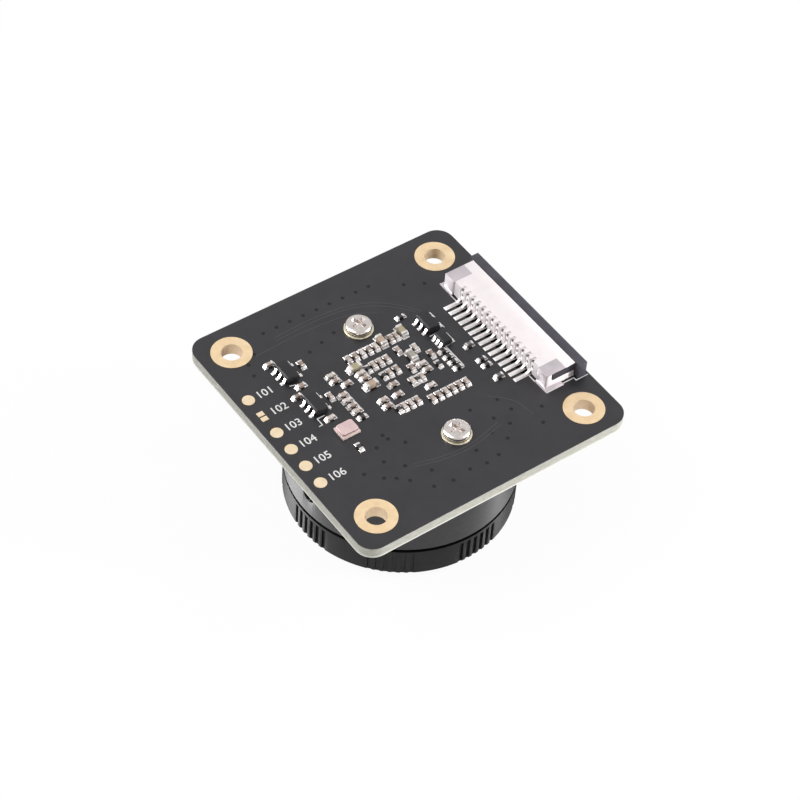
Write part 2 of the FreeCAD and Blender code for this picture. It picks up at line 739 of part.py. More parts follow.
def connector_latch():
    """Sliding bar with a cable window, a wedging tongue and two guide arms."""
    body = new_body("connector_latch")
    inner = f"({MOUTH} + LatchGap)"
    bar = new_sketch(body, offset=f"{TOP} + LatchLift")
    half = f"({END} + LatchOverhang)"
    rectangle(bar, (inner, f"-{half}"), (f"{inner} + LatchDepth", half))
    add(body, bar, "ConnectorHeight - LatchLift")
    tongue_low = f"({TOP} + {MOUTH_TOP} - LatchGap - LatchTongue)"
    window = new_sketch(body, "YZ_Plane", inner)
    rectangle(window, (f"-{CABLE}", f"{TOP} + MouthFloor"), (CABLE, tongue_low))
    cut(body, window, "LatchDepth", turned=True)
    tongue = new_sketch(body, "YZ_Plane", inner)
    half = f"({CABLE} - LatchGap)"
    rectangle(tongue, (f"-{half}", tongue_low), (half, f"{tongue_low} + LatchTongue"))
    add(body, tongue, "ConnectorDepth - BackWall + LatchGap - 2 * ArmShort", turned=True)
    arm = new_sketch(body, "YZ_Plane", inner)
    low = (f"{END} - ChannelWidth + LatchGap", f"{TOP} + ChannelFloor + LatchGap")
    rectangle(arm, low, (END, f"{TOP} + {CHANNEL_TOP} - LatchGap"))
    arm_pad = add(body, arm, "ConnectorDepth - BackWall + LatchGap - ArmShort", turned=True)
    mirror_y(body, [arm_pad])
    return body


# Small parts soldered to the board.

def chips(label, all_rows, length, width, height, end):
    """Blocks between two metal ends: the bodies and the ends as two groups."""
    bodies = []
    ends = []
    for upright, base, rows in all_rows:
        for x, along in places_of(rows):
            across = f"{base} + {x}"
            number = len(bodies) + 1
            pieces = (
                (bodies, "body", f"-({length}) / 2 + {end}", f"{length} - 2 * {end}"),
                (ends, "near", f"-({length}) / 2", end),
                (ends, "far", f"({length}) / 2 - {end}", end),
            )
            for held, word, start, run in pieces:
                low = (f"{across} + {start}", f"{along} - {width} / 2", TOP)
                size = (run, width, height)
                if upright:
                    low = (f"{across} - {width} / 2", f"{along} + {start}", TOP)
                    size = (width, run, height)
                held.append(box(f"{label}_{word}_{number}", low, size))
    return [group(f"{label}_bodies", bodies), group(f"{label}_ends", ends)]


def case(name, place, length, width, height):
    """Moulded chip case: both halves taper away from the lead plane."""
    body = new_body(name)
    middle = f"({TOP} + (CaseLift + {height}) / 2)"
    sketch = new_sketch(body, offset=middle)
    low = (f"{place[0]} - {width} / 2", f"{place[1]} - {length} / 2")
    rectangle(sketch, low, (f"{place[0]} + {width} / 2", f"{place[1]} + {length} / 2"))
    half = f"({height} - CaseLift) / 2"
    add(body, sketch, half, draft="-CaseDraft")
    add(body, sketch, half, draft="-CaseDraft", turned=True)
    return body


def lead_row(body, place, side, width, span, height, pitch, count):
    """Bent leads along one side of a case, spread over two pitches."""
    spread = f"2 * {pitch}"
    sketch = new_sketch(body, "XZ_Plane", f"-({place[1]} - {spread} / 2)")
    middle = f"({TOP} + (CaseLift + {height}) / 2)"
    tip = f"({place[0]} + {side} * {span} / 2)"
    root = f"({place[0]} + {side} * {width} / 2)"
    foot = f"({tip} - {side} * FootShare * ({span} - {width}) / 2)"
    outline(sketch, [
        (tip, TOP),
        (foot, TOP),
        (root, f"{middle} - LeadThick / 2"),
        (root, f"{middle} + LeadThick / 2"),
        (f"{root} + {side} * LeadThick / 2", f"{middle} + LeadThick / 2"),
        (f"{foot} + {side} * LeadThick / 2", f"{TOP} + LeadThick"),
        (tip, f"{TOP} + LeadThick"),
    ])
    lead = add(body, sketch, "LeadWidth", both_ways=True)
    repeat_along_y(body, lead, spread, str(count))


def leaded(name, place, length, width, span, height, pitch):
    """One chip: its case, and a row of leads on each side."""
    leads = new_body(f"{name}_leads")
    lead_row(leads, place, -1, width, span, height, pitch, LOW_LEAD_COUNT)
    lead_row(leads, place, 1, width, span, height, pitch, HIGH_LEAD_COUNT)
    return case(f"{name}_case", place, length, width, height), leads


def regulators():
    """The three equal chips."""
    cases = []
    leads = []
    for number, place in enumerate(CASE_PLACES, start=1):
        sizes = ("CaseLength", "CaseWidth", "CaseSpan", "CaseHeight", "CasePitch")
        held = leaded(f"regulator_{number}", place, *sizes)
        cases.append(held[0])
        leads.append(held[1])
    return [group("regulator_cases", cases), group("regulator_leads", leads)]


def small_chip():
    sizes = ("SmallCaseLength", "SmallCaseWidth", "SmallCaseSpan", "SmallCaseHeight", "SmallCasePitch")
    return list(leaded("small_chip", SMALL_CASE_PLACE, *sizes))


def crystal_base():
    x, y = CRYSTAL_PLACE
    low = (f"{x} - CrystalLength / 2", f"{y} - CrystalWidth / 2", TOP)
    return box("crystal_base", low, ("CrystalLength", "CrystalWidth", "CrystalBase"))


def crystal_lid():
    x, y = CRYSTAL_PLACE
    low = (f"{x} - CrystalLength / 2 + LidInset", f"{y} - CrystalWidth / 2 + LidInset", f"{TOP} + CrystalBase")
    size = ("CrystalLength - 2 * LidInset", "CrystalWidth - 2 * LidInset", "CrystalLid")
    return box("crystal_lid", low, size)


def build_parts():
    """Every sub-part, from the floor up."""
    made = [adapter_ring(), lens_housing(), lock_screw(), filter_glass(), dust_gasket()]
    made += [sensor_package(), sensor_die(), sensor_glass()]
    made += [circuit_board(), mounting_pads(), test_pads(), board_screws()]
    made += [connector_housing(), connector_contacts(), connector_anchors(), connector_latch()]
    small = ("ChipLength", "ChipWidth")
    tall = ("TallLength", "TallWidth", "TallHeight", "TallEnd")
    rows = [(True, "0", CAP_ROWS_UPRIGHT), (False, "0", CAP_ROWS_LEVEL)]
    made += chips("capacitor", rows, *small, "CapHeight", "ChipEnd")
    rows = [(True, "0", RESISTOR_ROWS_UPRIGHT), (False, "0", RESISTOR_ROWS_LEVEL)]
    rows.append((False, BACK, RESISTOR_ROWS_BY_CONNECTOR))
    made += chips("resistor", rows, *small, "ResistorHeight", "ChipEnd")
    rows = [(True, "0", TALL_ROWS_UPRIGHT), (False, "0", TALL_ROWS_LEVEL)]
    made += chips("large_capacitor", rows, *tall)
    made += chips("diode", [(False, BACK, DIODE_ROWS_BY_CONNECTOR)], *small, "DiodeHeight", "ChipEnd")
    made += regulators() + small_chip() + [crystal_base(), crystal_lid()]
    return made


sub_parts = build_parts()
doc.recompute()

for thing in doc.Objects:
    for word in ("Invalid", "Error"):
        if word in thing.State:
            raise RuntimeError(f"{thing.Label} is {word}")

for part in sub_parts:
    if part.Shape.isNull() or not part.Shape.isValid():
        raise RuntimeError(f"{part.Label} has no sound shape")
    part.Shape.exportStep(f"parts/{part.Label}.step")
    print(part.Label, len(part.Shape.Solids), "solids", round(part.Shape.Volume, 3), "cubic mm")
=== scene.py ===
"""Visual model of a camera module: a square circuit board on a round lens mount."""
import logging
import math
from contextlib import contextmanager
from dataclasses import dataclass, field
from enum import Enum
from typing import Callable, Iterable, Iterator, Optional, Union

import bmesh
import bpy
from mathutils import Matrix, Vector


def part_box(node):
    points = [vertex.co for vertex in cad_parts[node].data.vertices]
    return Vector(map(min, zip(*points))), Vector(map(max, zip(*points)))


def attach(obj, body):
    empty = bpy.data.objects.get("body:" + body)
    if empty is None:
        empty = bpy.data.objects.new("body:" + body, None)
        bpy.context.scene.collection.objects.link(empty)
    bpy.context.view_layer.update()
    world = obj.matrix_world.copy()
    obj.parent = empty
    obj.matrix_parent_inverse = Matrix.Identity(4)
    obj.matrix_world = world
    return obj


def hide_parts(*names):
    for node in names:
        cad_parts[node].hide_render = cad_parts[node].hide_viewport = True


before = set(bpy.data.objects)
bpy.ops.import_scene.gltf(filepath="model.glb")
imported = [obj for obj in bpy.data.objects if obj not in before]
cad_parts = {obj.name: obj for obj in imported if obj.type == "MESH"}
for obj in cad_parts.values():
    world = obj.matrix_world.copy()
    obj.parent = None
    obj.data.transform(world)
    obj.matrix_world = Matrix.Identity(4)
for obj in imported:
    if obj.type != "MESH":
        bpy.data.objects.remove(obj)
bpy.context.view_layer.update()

LOG = logging.getLogger("camera_module")
MM = 0.001
BOARD_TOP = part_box("circuit_board")[1].z / MM
Socket = bpy.types.NodeSocket
Piece = bpy.types.Object
Place = tuple[float, float]
Triple = tuple[float, float, float]
Colour = Triple
Box = tuple[Vector, Vector]
Test = Callable[[Vector, Vector], bool]


class Body(Enum):
    """What a piece moves with."""

    MODULE = "module"
    ADAPTER = "adapter"
    LATCH = "latch"


class Nodes:
    """The node tree of a material or world, with one short method for each kind of node."""

    def __init__(self, owner: bpy.types.ID, shader: str = "Principled BSDF") -> None:
        """Start the tree of a new material or world.

        Args:
            owner: The material or world.
            shader: Name of the main shader that it comes with.
        """
        owner.use_nodes = True
        self.owner = owner
        self.tree = owner.node_tree
        self.shader = self.tree.nodes[shader]

    @staticmethod
    def put(node: bpy.types.Node, values: dict[str, object]) -> None:
        """Set inputs of a node by their names."""
        for name, value in values.items():
            node.inputs[name].default_value = value

    def add(self, kind: str, values: Optional[dict[str, object]] = None, **settings: object) -> bpy.types.Node:
        """Add a node.

        Args:
            kind: Its kind.
            values: Values of its inputs, by their names.
            **settings: Its properties.

        Returns:
            The node.
        """
        node = self.tree.nodes.new(kind)
        for key, setting in settings.items():
            setattr(node, key, setting)
        self.put(node, values or {})
        return node

    def join(self, output: Socket, node: bpy.types.Node, socket: object) -> None:
        """Link an output to a named or numbered input of a node."""
        self.tree.links.new(output, node.inputs[socket])

    def places(self, stretch: Triple = (1.0, 1.0, 1.0)) -> Socket:
        """Take object coordinates in millimetres.

        Args:
            stretch: How many times finer a pattern gets along each axis.

        Returns:
            The coordinates.
        """
        mapping = self.add("ShaderNodeMapping", {"Scale": [part / MM for part in stretch]})
        self.join(self.add("ShaderNodeTexCoord").outputs["Object"], mapping, "Vector")
        return mapping.outputs["Vector"]

    def noise(self, size: float, detail: float = 3.0, stretch: Triple = (1.0, 1.0, 1.0)) -> Socket:
        """Cloudy noise.

        Args:
            size: Size of its patches in millimetres.
            detail: Number of finer layers.
            stretch: How many times finer it gets along each axis.

        Returns:
            A value from 0 to 1.
        """
        node = self.add("ShaderNodeTexNoise", {"Scale": 1.0 / size, "Detail": detail})
        self.join(self.places(stretch), node, "Vector")
        return node.outputs["Fac"]

    def part(self, source: Socket, axis: str) -> Socket:
        """Take one axis of a vector.

        Args:
            source: The vector.
            axis: Name of the axis.

        Returns:
            The value along it.
        """
        node = self.add("ShaderNodeSeparateXYZ")
        self.join(source, node, "Vector")
        return node.outputs[axis]

    def maths(self, operation: str, *values: Union[Socket, float]) -> Socket:
        """Work out a value.

        Args:
            operation: What is done.
            *values: The outputs and numbers that it takes.

        Returns:
            The result.
        """
        node = self.add("ShaderNodeMath", operation=operation)
        for number, value in enumerate(values):
            if isinstance(value, float):
                node.inputs[number].default_value = value
            else:
                self.join(value, node, number)
        return node.outputs["Value"]

    def distance(self, source: Socket, middle: float = 0.0) -> Socket:
        """How far a value lies from another."""
        return self.maths("ABSOLUTE", self.maths("SUBTRACT", source, middle))

    def ramp(self, source: Socket, stops: Iterable[tuple[float, Colour]]) -> Socket:
        """Turn a value into a colour.

        Args:
            source: The value.
            stops: Places from 0 to 1, each with its colour.

        Returns:
            The colour.
        """
        node = self.add("ShaderNodeValToRGB")
        places = list(stops)
        while len(node.color_ramp.elements) < len(places):
            node.color_ramp.elements.new(0.5)
        for element, (place, colour) in zip(node.color_ramp.elements, places):
            element.position = place
            element.color = (*colour, 1.0)
        self.join(source, node, "Fac")
        return node.outputs["Color"]

    def span(self, source: Socket, low: float, high: float,
             start: float = 0.3, end: float = 0.7) -> Socket:
        """Carry a value from one range over to another.

        Args:
            source: The value.
            low: Result at the start.
            high: Result at the end.
            start: Value that gives low.
            end: Value that gives high.

        Returns:
            The new value.
        """
        node = self.add("ShaderNodeMapRange", {"From Min": start, "From Max": end,
                                               "To Min": low, "To Max": high})
        self.join(source, node, "Value")
        return node.outputs["Result"]

    def blend(self, share: Socket, first: Socket, second: Socket) -> Socket:
        """Blend two colours.

        Args:
            share: 0 for only the first and 1 for only the second.
            first: A colour.
            second: Another colour.

        Returns:
            The blend.
        """
        node = self.add("ShaderNodeMix", data_type="RGBA")
        for output, number in ((share, 0), (first, 6), (second, 7)):
            self.join(output, node, number)
        return node.outputs[2]

    def bump(self, height: Socket, depth: float, under: Optional[Socket] = None) -> Socket:
        """Make a surface uneven.

        Args:
            height: Height from 0 to 1.
            depth: Depth in millimetres.
            under: A bump that this one lies on.

        Returns:
            The turned normal.
        """
        node = self.add("ShaderNodeBump", {"Distance": depth * MM})
        self.join(height, node, "Height")
        if under:
            self.join(under, node, "Normal")
        return node.outputs["Normal"]


@dataclass(frozen=True)
class Finish:
    """A surface with patches of two near colours, uneven gloss and a fine grain.

    Sizes are in millimetres.
    """

    name: str
    colour: Colour
    shade: Colour
    rough: float
    rough_swing: float = 0.06
    patch: float = 1.5
    grain: float = 0.08
    depth: float = 0.004
    metal: float = 0.0
    coat: float = 0.0
    coat_rough: float = 0.15
    mirror: float = 0.5

    def colours(self, nodes: Nodes) -> Socket:
        """The colour over the surface."""
        return nodes.ramp(nodes.noise(self.patch), ((0.3, self.shade), (0.7, self.colour)))

    def relief(self, nodes: Nodes) -> Socket:
        """The unevenness of the surface."""
        return nodes.bump(nodes.noise(self.grain), self.depth)

    def extras(self, nodes: Nodes) -> None:
        """Settings that only some finishes have."""

    def material(self) -> bpy.types.Material:
        """Build the material.

        Returns:
            The material.
        """
        nodes = Nodes(bpy.data.materials.new(self.name))
        shader = nodes.shader
        nodes.put(shader, {"Metallic": self.metal, "Coat Weight": self.coat, "Coat Roughness": self.coat_rough,
                           "Specular IOR Level": self.mirror})
        nodes.join(self.colours(nodes), shader, "Base Color")
        gloss = nodes.noise(self.patch * 0.4)
        swing = (self.rough - self.rough_swing, self.rough + self.rough_swing)
        nodes.join(nodes.span(gloss, *swing), shader, "Roughness")
        nodes.join(self.relief(nodes), shader, "Normal")
        self.extras(nodes)
        return nodes.owner


@dataclass(frozen=True)
class TurnedMetal(Finish):
    """Anodised metal with the fine rings that a lathe leaves, and a black band of painted shade over the seam.
    """

    pitch: float = 0.12
    ring_depth: float = 0.001
    seam: tuple[float, float] = (4.86, 5.6)
    blur: float = 0.02
    streak: float = 0.85

    def colours(self, nodes: Nodes) -> Socket:
        """Paint shade in black over the seam between ring and housing, where shadow falls.

        Args:
            nodes: The material's nodes.

        Returns:
            The colour over the surface.
        """
        away = nodes.distance(nodes.part(nodes.places(), "Z"), sum(self.seam) / 2)
        half = (self.seam[1] - self.seam[0]) / 2
        share = nodes.span(away, 0.0, 1.0, half - self.blur, half + self.blur)
        # painted shade: near-black colour across the seam band
        black = nodes.add("ShaderNodeRGB")
        black.outputs[0].default_value = (0.001, 0.001, 0.001, 1.0)
        return nodes.blend(share, black.outputs[0], super().colours(nodes))

    def relief(self, nodes: Nodes) -> Socket:
        """Lay lathe rings under the grain.

        Args:
            nodes: The material's nodes.

        Returns:
            The turned normal.
        """
        rings = nodes.add("ShaderNodeTexWave", {"Scale": math.pi / 10 / self.pitch, "Distortion": 0.4},
                          bands_direction="Z")
        nodes.join(nodes.places(), rings, "Vector")
        turned = nodes.bump(rings.outputs["Fac"], self.ring_depth)
        return nodes.bump(nodes.noise(self.grain), self.depth, turned)

    def extras(self, nodes: Nodes) -> None:
        """Draw the gloss out across the lathe rings.

        Args:
            nodes: The material's nodes.
        """
        nodes.put(nodes.shader, {"Anisotropic": self.streak})
        source = nodes.add("ShaderNodeTexCoord").outputs["Object"]
        across = nodes.add("ShaderNodeCombineXYZ", {"Z": 1.0})
        for axis in "XY":
            nodes.join(nodes.part(source, axis), across, axis)
        nodes.join(across.outputs["Vector"], nodes.shader, "Tangent")


@dataclass(frozen=True)
class BrushedMetal(Finish):
    """Plated metal with faint lines along one axis."""

    stretch: Triple = (0.15, 1.0, 1.0)

    def relief(self, nodes: Nodes) -> Socket:
        """Lines in place of grain."""
        return nodes.bump(nodes.noise(self.grain, 2.0, self.stretch), self.depth)


@dataclass(frozen=True)
class TonedCeramic(Finish):
    """Ceramic whose colour differs from piece to piece, by the attribute tone."""

    pale: Colour = (0.7, 0.62, 0.58)

    def colours(self, nodes: Nodes) -> Socket:
        """Go from the shade over the colour to the pale one, with faint patches.

        Args:
            nodes: The material's nodes.

        Returns:
            The colour over the surface.
        """
        tone = nodes.add("ShaderNodeAttribute", attribute_name="tone")
        tones = nodes.ramp(tone.outputs["Fac"], ((0.0, self.shade), (0.55, self.colour), (1.0, self.pale)))
        dark = nodes.ramp(nodes.noise(self.patch), ((0.3, self.shade), (0.7, self.colour)))
        share = nodes.span(nodes.noise(self.patch * 0.5), 0.0, 0.25)
        return nodes.blend(share, tones, dark)


@dataclass(frozen=True)
class LaminatedBoard(Finish):
    """Solder mask on both faces and bare glass laminate round the edge."""

    laminate: Colour = (0.44, 0.435, 0.385)
    laminate_shade: Colour = (0.31, 0.305, 0.26)
    rim: Colour = (0.62, 0.61, 0.55)
    ply: float = 0.2
    thick: float = 1.6

    def colours(self, nodes: Nodes) -> Socket:
        """Put mask where the surface faces up or down, and layered laminate with a pale lower rim elsewhere.

        Args:
            nodes: The material's nodes.

        Returns:
            The colour over the surface.
        """
        mask = super().colours(nodes)
        layers = nodes.noise(self.ply, 4.0, (0.25, 0.25, 2.0))
        bare = nodes.ramp(layers, ((0.35, self.laminate_shade), (0.65, self.laminate)))
        height = nodes.part(nodes.places(), "Z")
        level = nodes.span(height, 0.0, 1.0, BOARD_TOP - self.thick, BOARD_TOP)
        pale = nodes.ramp(level, ((0.1, self.rim), (0.22, self.laminate)))
        low = nodes.span(level, 1.0, 0.0, 0.1, 0.22)
        lined = nodes.blend(low, bare, pale)
        edge = nodes.blend(nodes.span(level, 0.0, 1.0, 0.9, 0.94), lined, mask)
        normal = nodes.add("ShaderNodeNewGeometry").outputs["Normal"]
        flat = nodes.distance(nodes.part(normal, "Z"))
        return nodes.blend(nodes.span(flat, 0.0, 1.0, 0.6, 0.75), edge, mask)


@dataclass(frozen=True)
class CoatedGlass(Finish):
    """Clear or tinted glass with a faint coating."""

    clear: float = 0.85
    bend: float = 1.5

    def extras(self, nodes: Nodes) -> None:
        """Let light through."""
        nodes.put(nodes.shader, {"Transmission Weight": self.clear, "IOR": self.bend})


def finishes() -> dict[str, bpy.types.Material]:
    """Build each finish once.

    Returns:
        The materials by the record's slot names, with a few that only the scene has.
    """
    listed = [
        TurnedMetal("black_anodised", (0.0075, 0.007, 0.0083), (0.005, 0.0048, 0.0056), 0.52, 0.03,
                    depth=0.0003, mirror=0.38),
        TurnedMetal("black_anodised_fine", (0.009, 0.0085, 0.01), (0.006, 0.0058, 0.0068), 0.52, 0.03,
                    depth=0.0002, mirror=0.75),
        BrushedMetal("black_steel", (0.035, 0.035, 0.04), (0.02, 0.02, 0.022), 0.35, metal=0.8),
        CoatedGlass("infrared_filter", (0.62, 0.82, 0.9), (0.55, 0.76, 0.86), 0.05, 0.02, depth=0.0004),
        CoatedGlass("cover_glass", (0.93, 0.96, 0.96), (0.9, 0.94, 0.95), 0.04, 0.02, depth=0.0003),
        Finish("foam", (0.02, 0.02, 0.021), (0.012, 0.012, 0.013), 0.95, 0.04, grain=0.15, depth=0.03),
        Finish("package_ceramic", (0.72, 0.6, 0.55), (0.6, 0.48, 0.43), 0.6, grain=0.06, depth=0.006),
        Finish("silicon", (0.07, 0.08, 0.14), (0.11, 0.07, 0.12), 0.12, 0.04, grain=0.05, depth=0.001),
        LaminatedBoard("solder_mask", (0.0195, 0.0188, 0.0222), (0.0145, 0.014, 0.0162), 0.38, 0.05,
                       patch=3.0, grain=0.25, depth=0.004, mirror=0.43),
        Finish("gold_plate", (0.81, 0.63, 0.41), (0.74, 0.55, 0.33), 0.42, 0.08, metal=0.85,
               grain=0.1, depth=0.004),
        Finish("pale_gold", (0.8, 0.66, 0.48), (0.74, 0.59, 0.4), 0.42, 0.08, metal=0.8,
               grain=0.1, depth=0.004),
        Finish("hole_plating", (0.76, 0.6, 0.42), (0.7, 0.54, 0.36), 0.4, 0.08, metal=0.35,
               grain=0.1, depth=0.004),
        Finish("nickel_steel", (0.66, 0.62, 0.6), (0.52, 0.48, 0.45), 0.2, 0.06, metal=1.0, depth=0.002),
        # painted shade: a darker copy of the nickel for the inner face of the screw heads
        Finish("nickel_face_shade", (0.66, 0.61, 0.59), (0.5, 0.46, 0.44), 0.24, 0.08, patch=0.6, metal=1.0,
               depth=0.002),
        Finish("pale_tin", (0.82, 0.78, 0.64), (0.6, 0.54, 0.4), 0.34, 0.08, patch=0.5, metal=0.8, depth=0.004),
        Finish("ivory_plastic", (0.88, 0.82, 0.83), (0.84, 0.775, 0.79), 0.45, depth=0.003),
        Finish("slate_plastic", (0.072, 0.068, 0.085), (0.05, 0.048, 0.06), 0.42, depth=0.004, mirror=0.22),
        BrushedMetal("tin_plate", (0.78, 0.75, 0.75), (0.66, 0.63, 0.63), 0.42, metal=1.0),
        BrushedMetal("dull_tin", (0.56, 0.51, 0.545), (0.48, 0.44, 0.46), 0.36, metal=0.7),
        TonedCeramic("tan_ceramic", (0.42, 0.34, 0.29), (0.27, 0.2, 0.16), 0.5, patch=0.5,
                     pale=(0.66, 0.6, 0.56)),
        TonedCeramic("olive_ceramic", (0.36, 0.31, 0.19), (0.33, 0.3, 0.26), 0.5, patch=0.7,
                     pale=(0.42, 0.31, 0.23)),
        Finish("resistor_coat", (0.02, 0.02, 0.024), (0.012, 0.012, 0.014), 0.3, coat=0.4, patch=0.4),
        Finish("solder", (0.72, 0.69, 0.68), (0.52, 0.49, 0.48), 0.42, 0.1, patch=0.35,
               grain=0.12, depth=0.01, metal=0.9),
        Finish("chip_case_plastic", (0.016, 0.016, 0.018), (0.011, 0.011, 0.013), 0.5, grain=0.05, depth=0.006,
               mirror=0.3),
        BrushedMetal("rose_nickel", (0.72, 0.55, 0.54), (0.62, 0.46, 0.46), 0.35, metal=0.75),
        Finish("white_print", (0.8, 0.79, 0.78), (0.62, 0.61, 0.61), 0.6, patch=0.25, depth=0.004),
        Finish("masked_copper", (0.029, 0.0282, 0.032), (0.024, 0.0235, 0.0265), 0.34, patch=2.0),
        # painted shade: near-black for the board between the contact tails
        Finish("painted_gap_black", (0.002, 0.002, 0.0022), (0.001, 0.001, 0.0012), 0.8, patch=0.3, mirror=0.03),
        Finish("dimple_mask", (0.008, 0.0078, 0.009), (0.005, 0.0048, 0.0058), 0.5, patch=0.3, mirror=0.25),
        # bare mask without copper beneath, darkened further as painted shade between packed parts
        Finish("bare_mask_and_shade", (0.006, 0.006, 0.007), (0.004, 0.004, 0.005), 0.5, patch=0.5, mirror=0.2),
        # painted shade: matte black for the seam faces, which lie in shadow
        Finish("seam_painted_shade", (0.002, 0.002, 0.002), (0.001, 0.001, 0.001), 0.85, mirror=0.05),
        Finish("slot_shade", (0.07, 0.064, 0.07), (0.04, 0.036, 0.04), 0.6, patch=0.2),
        Finish("clouded_glass", (0.17, 0.165, 0.165), (0.1, 0.095, 0.1), 0.35, patch=0.2, coat=0.4),
    ]
    return {finish.name: finish.material() for finish in listed}


def placed(name: str, data: bpy.types.ID) -> Piece:
    """Add an object to the scene.

    Args:
        name: Its name.
        data: Its mesh, lamp or camera.

    Returns:
        The object.
    """
    made = bpy.data.objects.new(name, data)
    bpy.context.scene.collection.objects.link(made)
    return made


class Workbench:
    """Modelling steps that the sub-assemblies share. Sizes are in millimetres."""

    def __init__(self, looks: dict[str, bpy.types.Material]) -> None:
        """Keep the finishes by name."""
        self.looks = looks

    @staticmethod
    def clear() -> None:
        """Select nothing."""
        bpy.ops.object.select_all(action="DESELECT")

    def only(self, piece: Piece) -> None:
        """Select one object and make it active.

        Args:
            piece: The object.
        """
        self.clear()
        piece.select_set(True)
        bpy.context.view_layer.objects.active = piece

    def block(self, low: Vector, high: Vector) -> Piece:
        """Add a block.

        Args:
            low: Its lowest corner.
            high: Its highest corner.

        Returns:
            The block.
        """
        self.clear()
        bpy.ops.mesh.primitive_cube_add(size=1, location=(low + high) / 2 * MM, scale=(high - low) * MM)
        return self.settle()

    def plate(self, low: Vector, high: Vector, rim: float = 0.01) -> Piece:
        """Add a thin block with a narrow rim round its upper face.

        Args:
            low: Its lowest corner.
            high: Its highest corner.
            rim: Width of the rim.

        Returns:
            The plate.
        """
        plate = self.block(low, high)
        with self.picked(plate, lambda spot, normal: normal.z > 0.5):
            bpy.ops.mesh.inset(thickness=rim * MM)
        return plate

    def drum(self, radius: float, low: float, high: float, place: Place = (0.0, 0.0),
             sides: int = 48) -> Piece:
        """Add an upright cylinder.

        Args:
            radius: Its radius.
            low: Height of its lower face.
            high: Height of its upper face.
            place: Its axis.
            sides: Number of sides.

        Returns:
            The cylinder.
        """
        self.clear()
        middle = Vector((*place, (low + high) / 2)) * MM
        bpy.ops.mesh.primitive_cylinder_add(vertices=sides, radius=radius * MM, depth=(high - low) * MM,
                                            location=middle)
        return self.settle()

    def tube(self, radius: float, wall: float, low: float, high: float, place: Place) -> Piece:
        """Add an upright tube.

        Args:
            radius: Outer radius.
            wall: Thickness of its wall.
            low: Height of its lower end.
            high: Height of its upper end.
            place: Its axis.

        Returns:
            The tube.
        """
        tube = self.drum(radius, low, high, place)
        with self.picked(tube, lambda spot, normal: abs(normal.z) > 0.5):
            bpy.ops.mesh.inset(thickness=wall * MM)
            bpy.ops.mesh.bridge_edge_loops()
        return tube

    def settle(self) -> Piece:
        """Put the active object's place and size into its mesh."""
        bpy.ops.object.transform_apply(location=True, rotation=True, scale=True)
        return bpy.context.object

    @contextmanager
    def picked(self, piece: Piece, test: Test, edges: bool = False) -> Iterator[None]:
        """Edit an object with some of its faces or edges selected.

        Args:
            piece: The object.
            test: Takes a middle in millimetres and a face's normal or an edge's direction.
            edges: Whether edges are picked.

        Yields:
            Nothing. The object is in edit mode meanwhile.
        """
        self.only(piece)
        bpy.ops.object.mode_set(mode="EDIT")
        bpy.ops.mesh.select_mode(type="EDGE" if edges else "FACE")
        bpy.ops.mesh.select_all(action="DESELECT")
        mesh = bmesh.from_edit_mesh(piece.data)
        for part in mesh.edges if edges else mesh.faces:
            if edges:
                first, second = (vertex.co for vertex in part.verts)
                part.select = test((first + second) / 2 / MM, (second - first).normalized())
            else:
                part.select = test(part.calc_center_median() / MM, part.normal)
        mesh.select_flush_mode()
        bmesh.update_edit_mesh(piece.data)
        yield
        bpy.ops.object.mode_set(mode="OBJECT")

    def soften(self, piece: Piece, width: float, segments: int = 2, turn: float = 35.0) -> None:
        """Round the sharp edges and shade the rest smooth.

        Args:
            piece: The object.
            width: Width of the rounding.
            segments: Steps of the rounding.
            turn: Degrees past which an edge counts as sharp.
        """
        self.only(piece)
        bevel = piece.modifiers.new("edges", "BEVEL")
        bevel.width = width * MM
        bevel.segments = segments
        bevel.limit_method = "ANGLE"
        bevel.angle_limit = math.radians(turn)
        bpy.ops.object.modifier_apply(modifier=bevel.name)
        bpy.ops.object.shade_smooth_by_angle(angle=math.radians(turn))

    def cut(self, piece: Piece, tool: Piece) -> None:
        """Cut one object out of another.

        Args:
            piece: The object that stays.
            tool: The object that is cut out of it and removed.
        """
        self.only(piece)
        boolean = piece.modifiers.new("cut", "BOOLEAN")
        boolean.operation = "DIFFERENCE"
        boolean.object = tool
        bpy.ops.object.modifier_apply(modifier=boolean.name)
        bpy.data.objects.remove(tool)

    def join(self, pieces: list[Piece]) -> Piece:
        """Join objects into the first one.

        Args:
            pieces: The objects.

        Returns:
            The joined object.
        """
        self.only(pieces[0])
        for piece in pieces:
            piece.select_set(True)
        if len(pieces) > 1:
            bpy.ops.object.join()
        return bpy.context.object

    def scatter(self, model: Piece, matrices: Iterable[Matrix],
                tones: Optional[Iterable[float]] = None) -> Piece:
        """Copy a model to many places, each copy with its own mesh, and join them.

        Args:
            model: The object to copy, which is used up.
            matrices: Where each copy goes, in metres.
            tones: A tone from 0 to 1 for each copy.

        Returns:
            The joined copies.
        """
        copies = []
        places = list(matrices)
        for matrix, tone in zip(places, tones or [0.5] * len(places)):
            mesh = model.data.copy()
            mesh.transform(matrix)
            shade = mesh.attributes.new("tone", "FLOAT", "POINT")
            shade.data.foreach_set("value", [tone] * len(mesh.vertices))
            copies.append(placed(model.name, mesh))
        bpy.data.objects.remove(model)
        return self.join(copies)

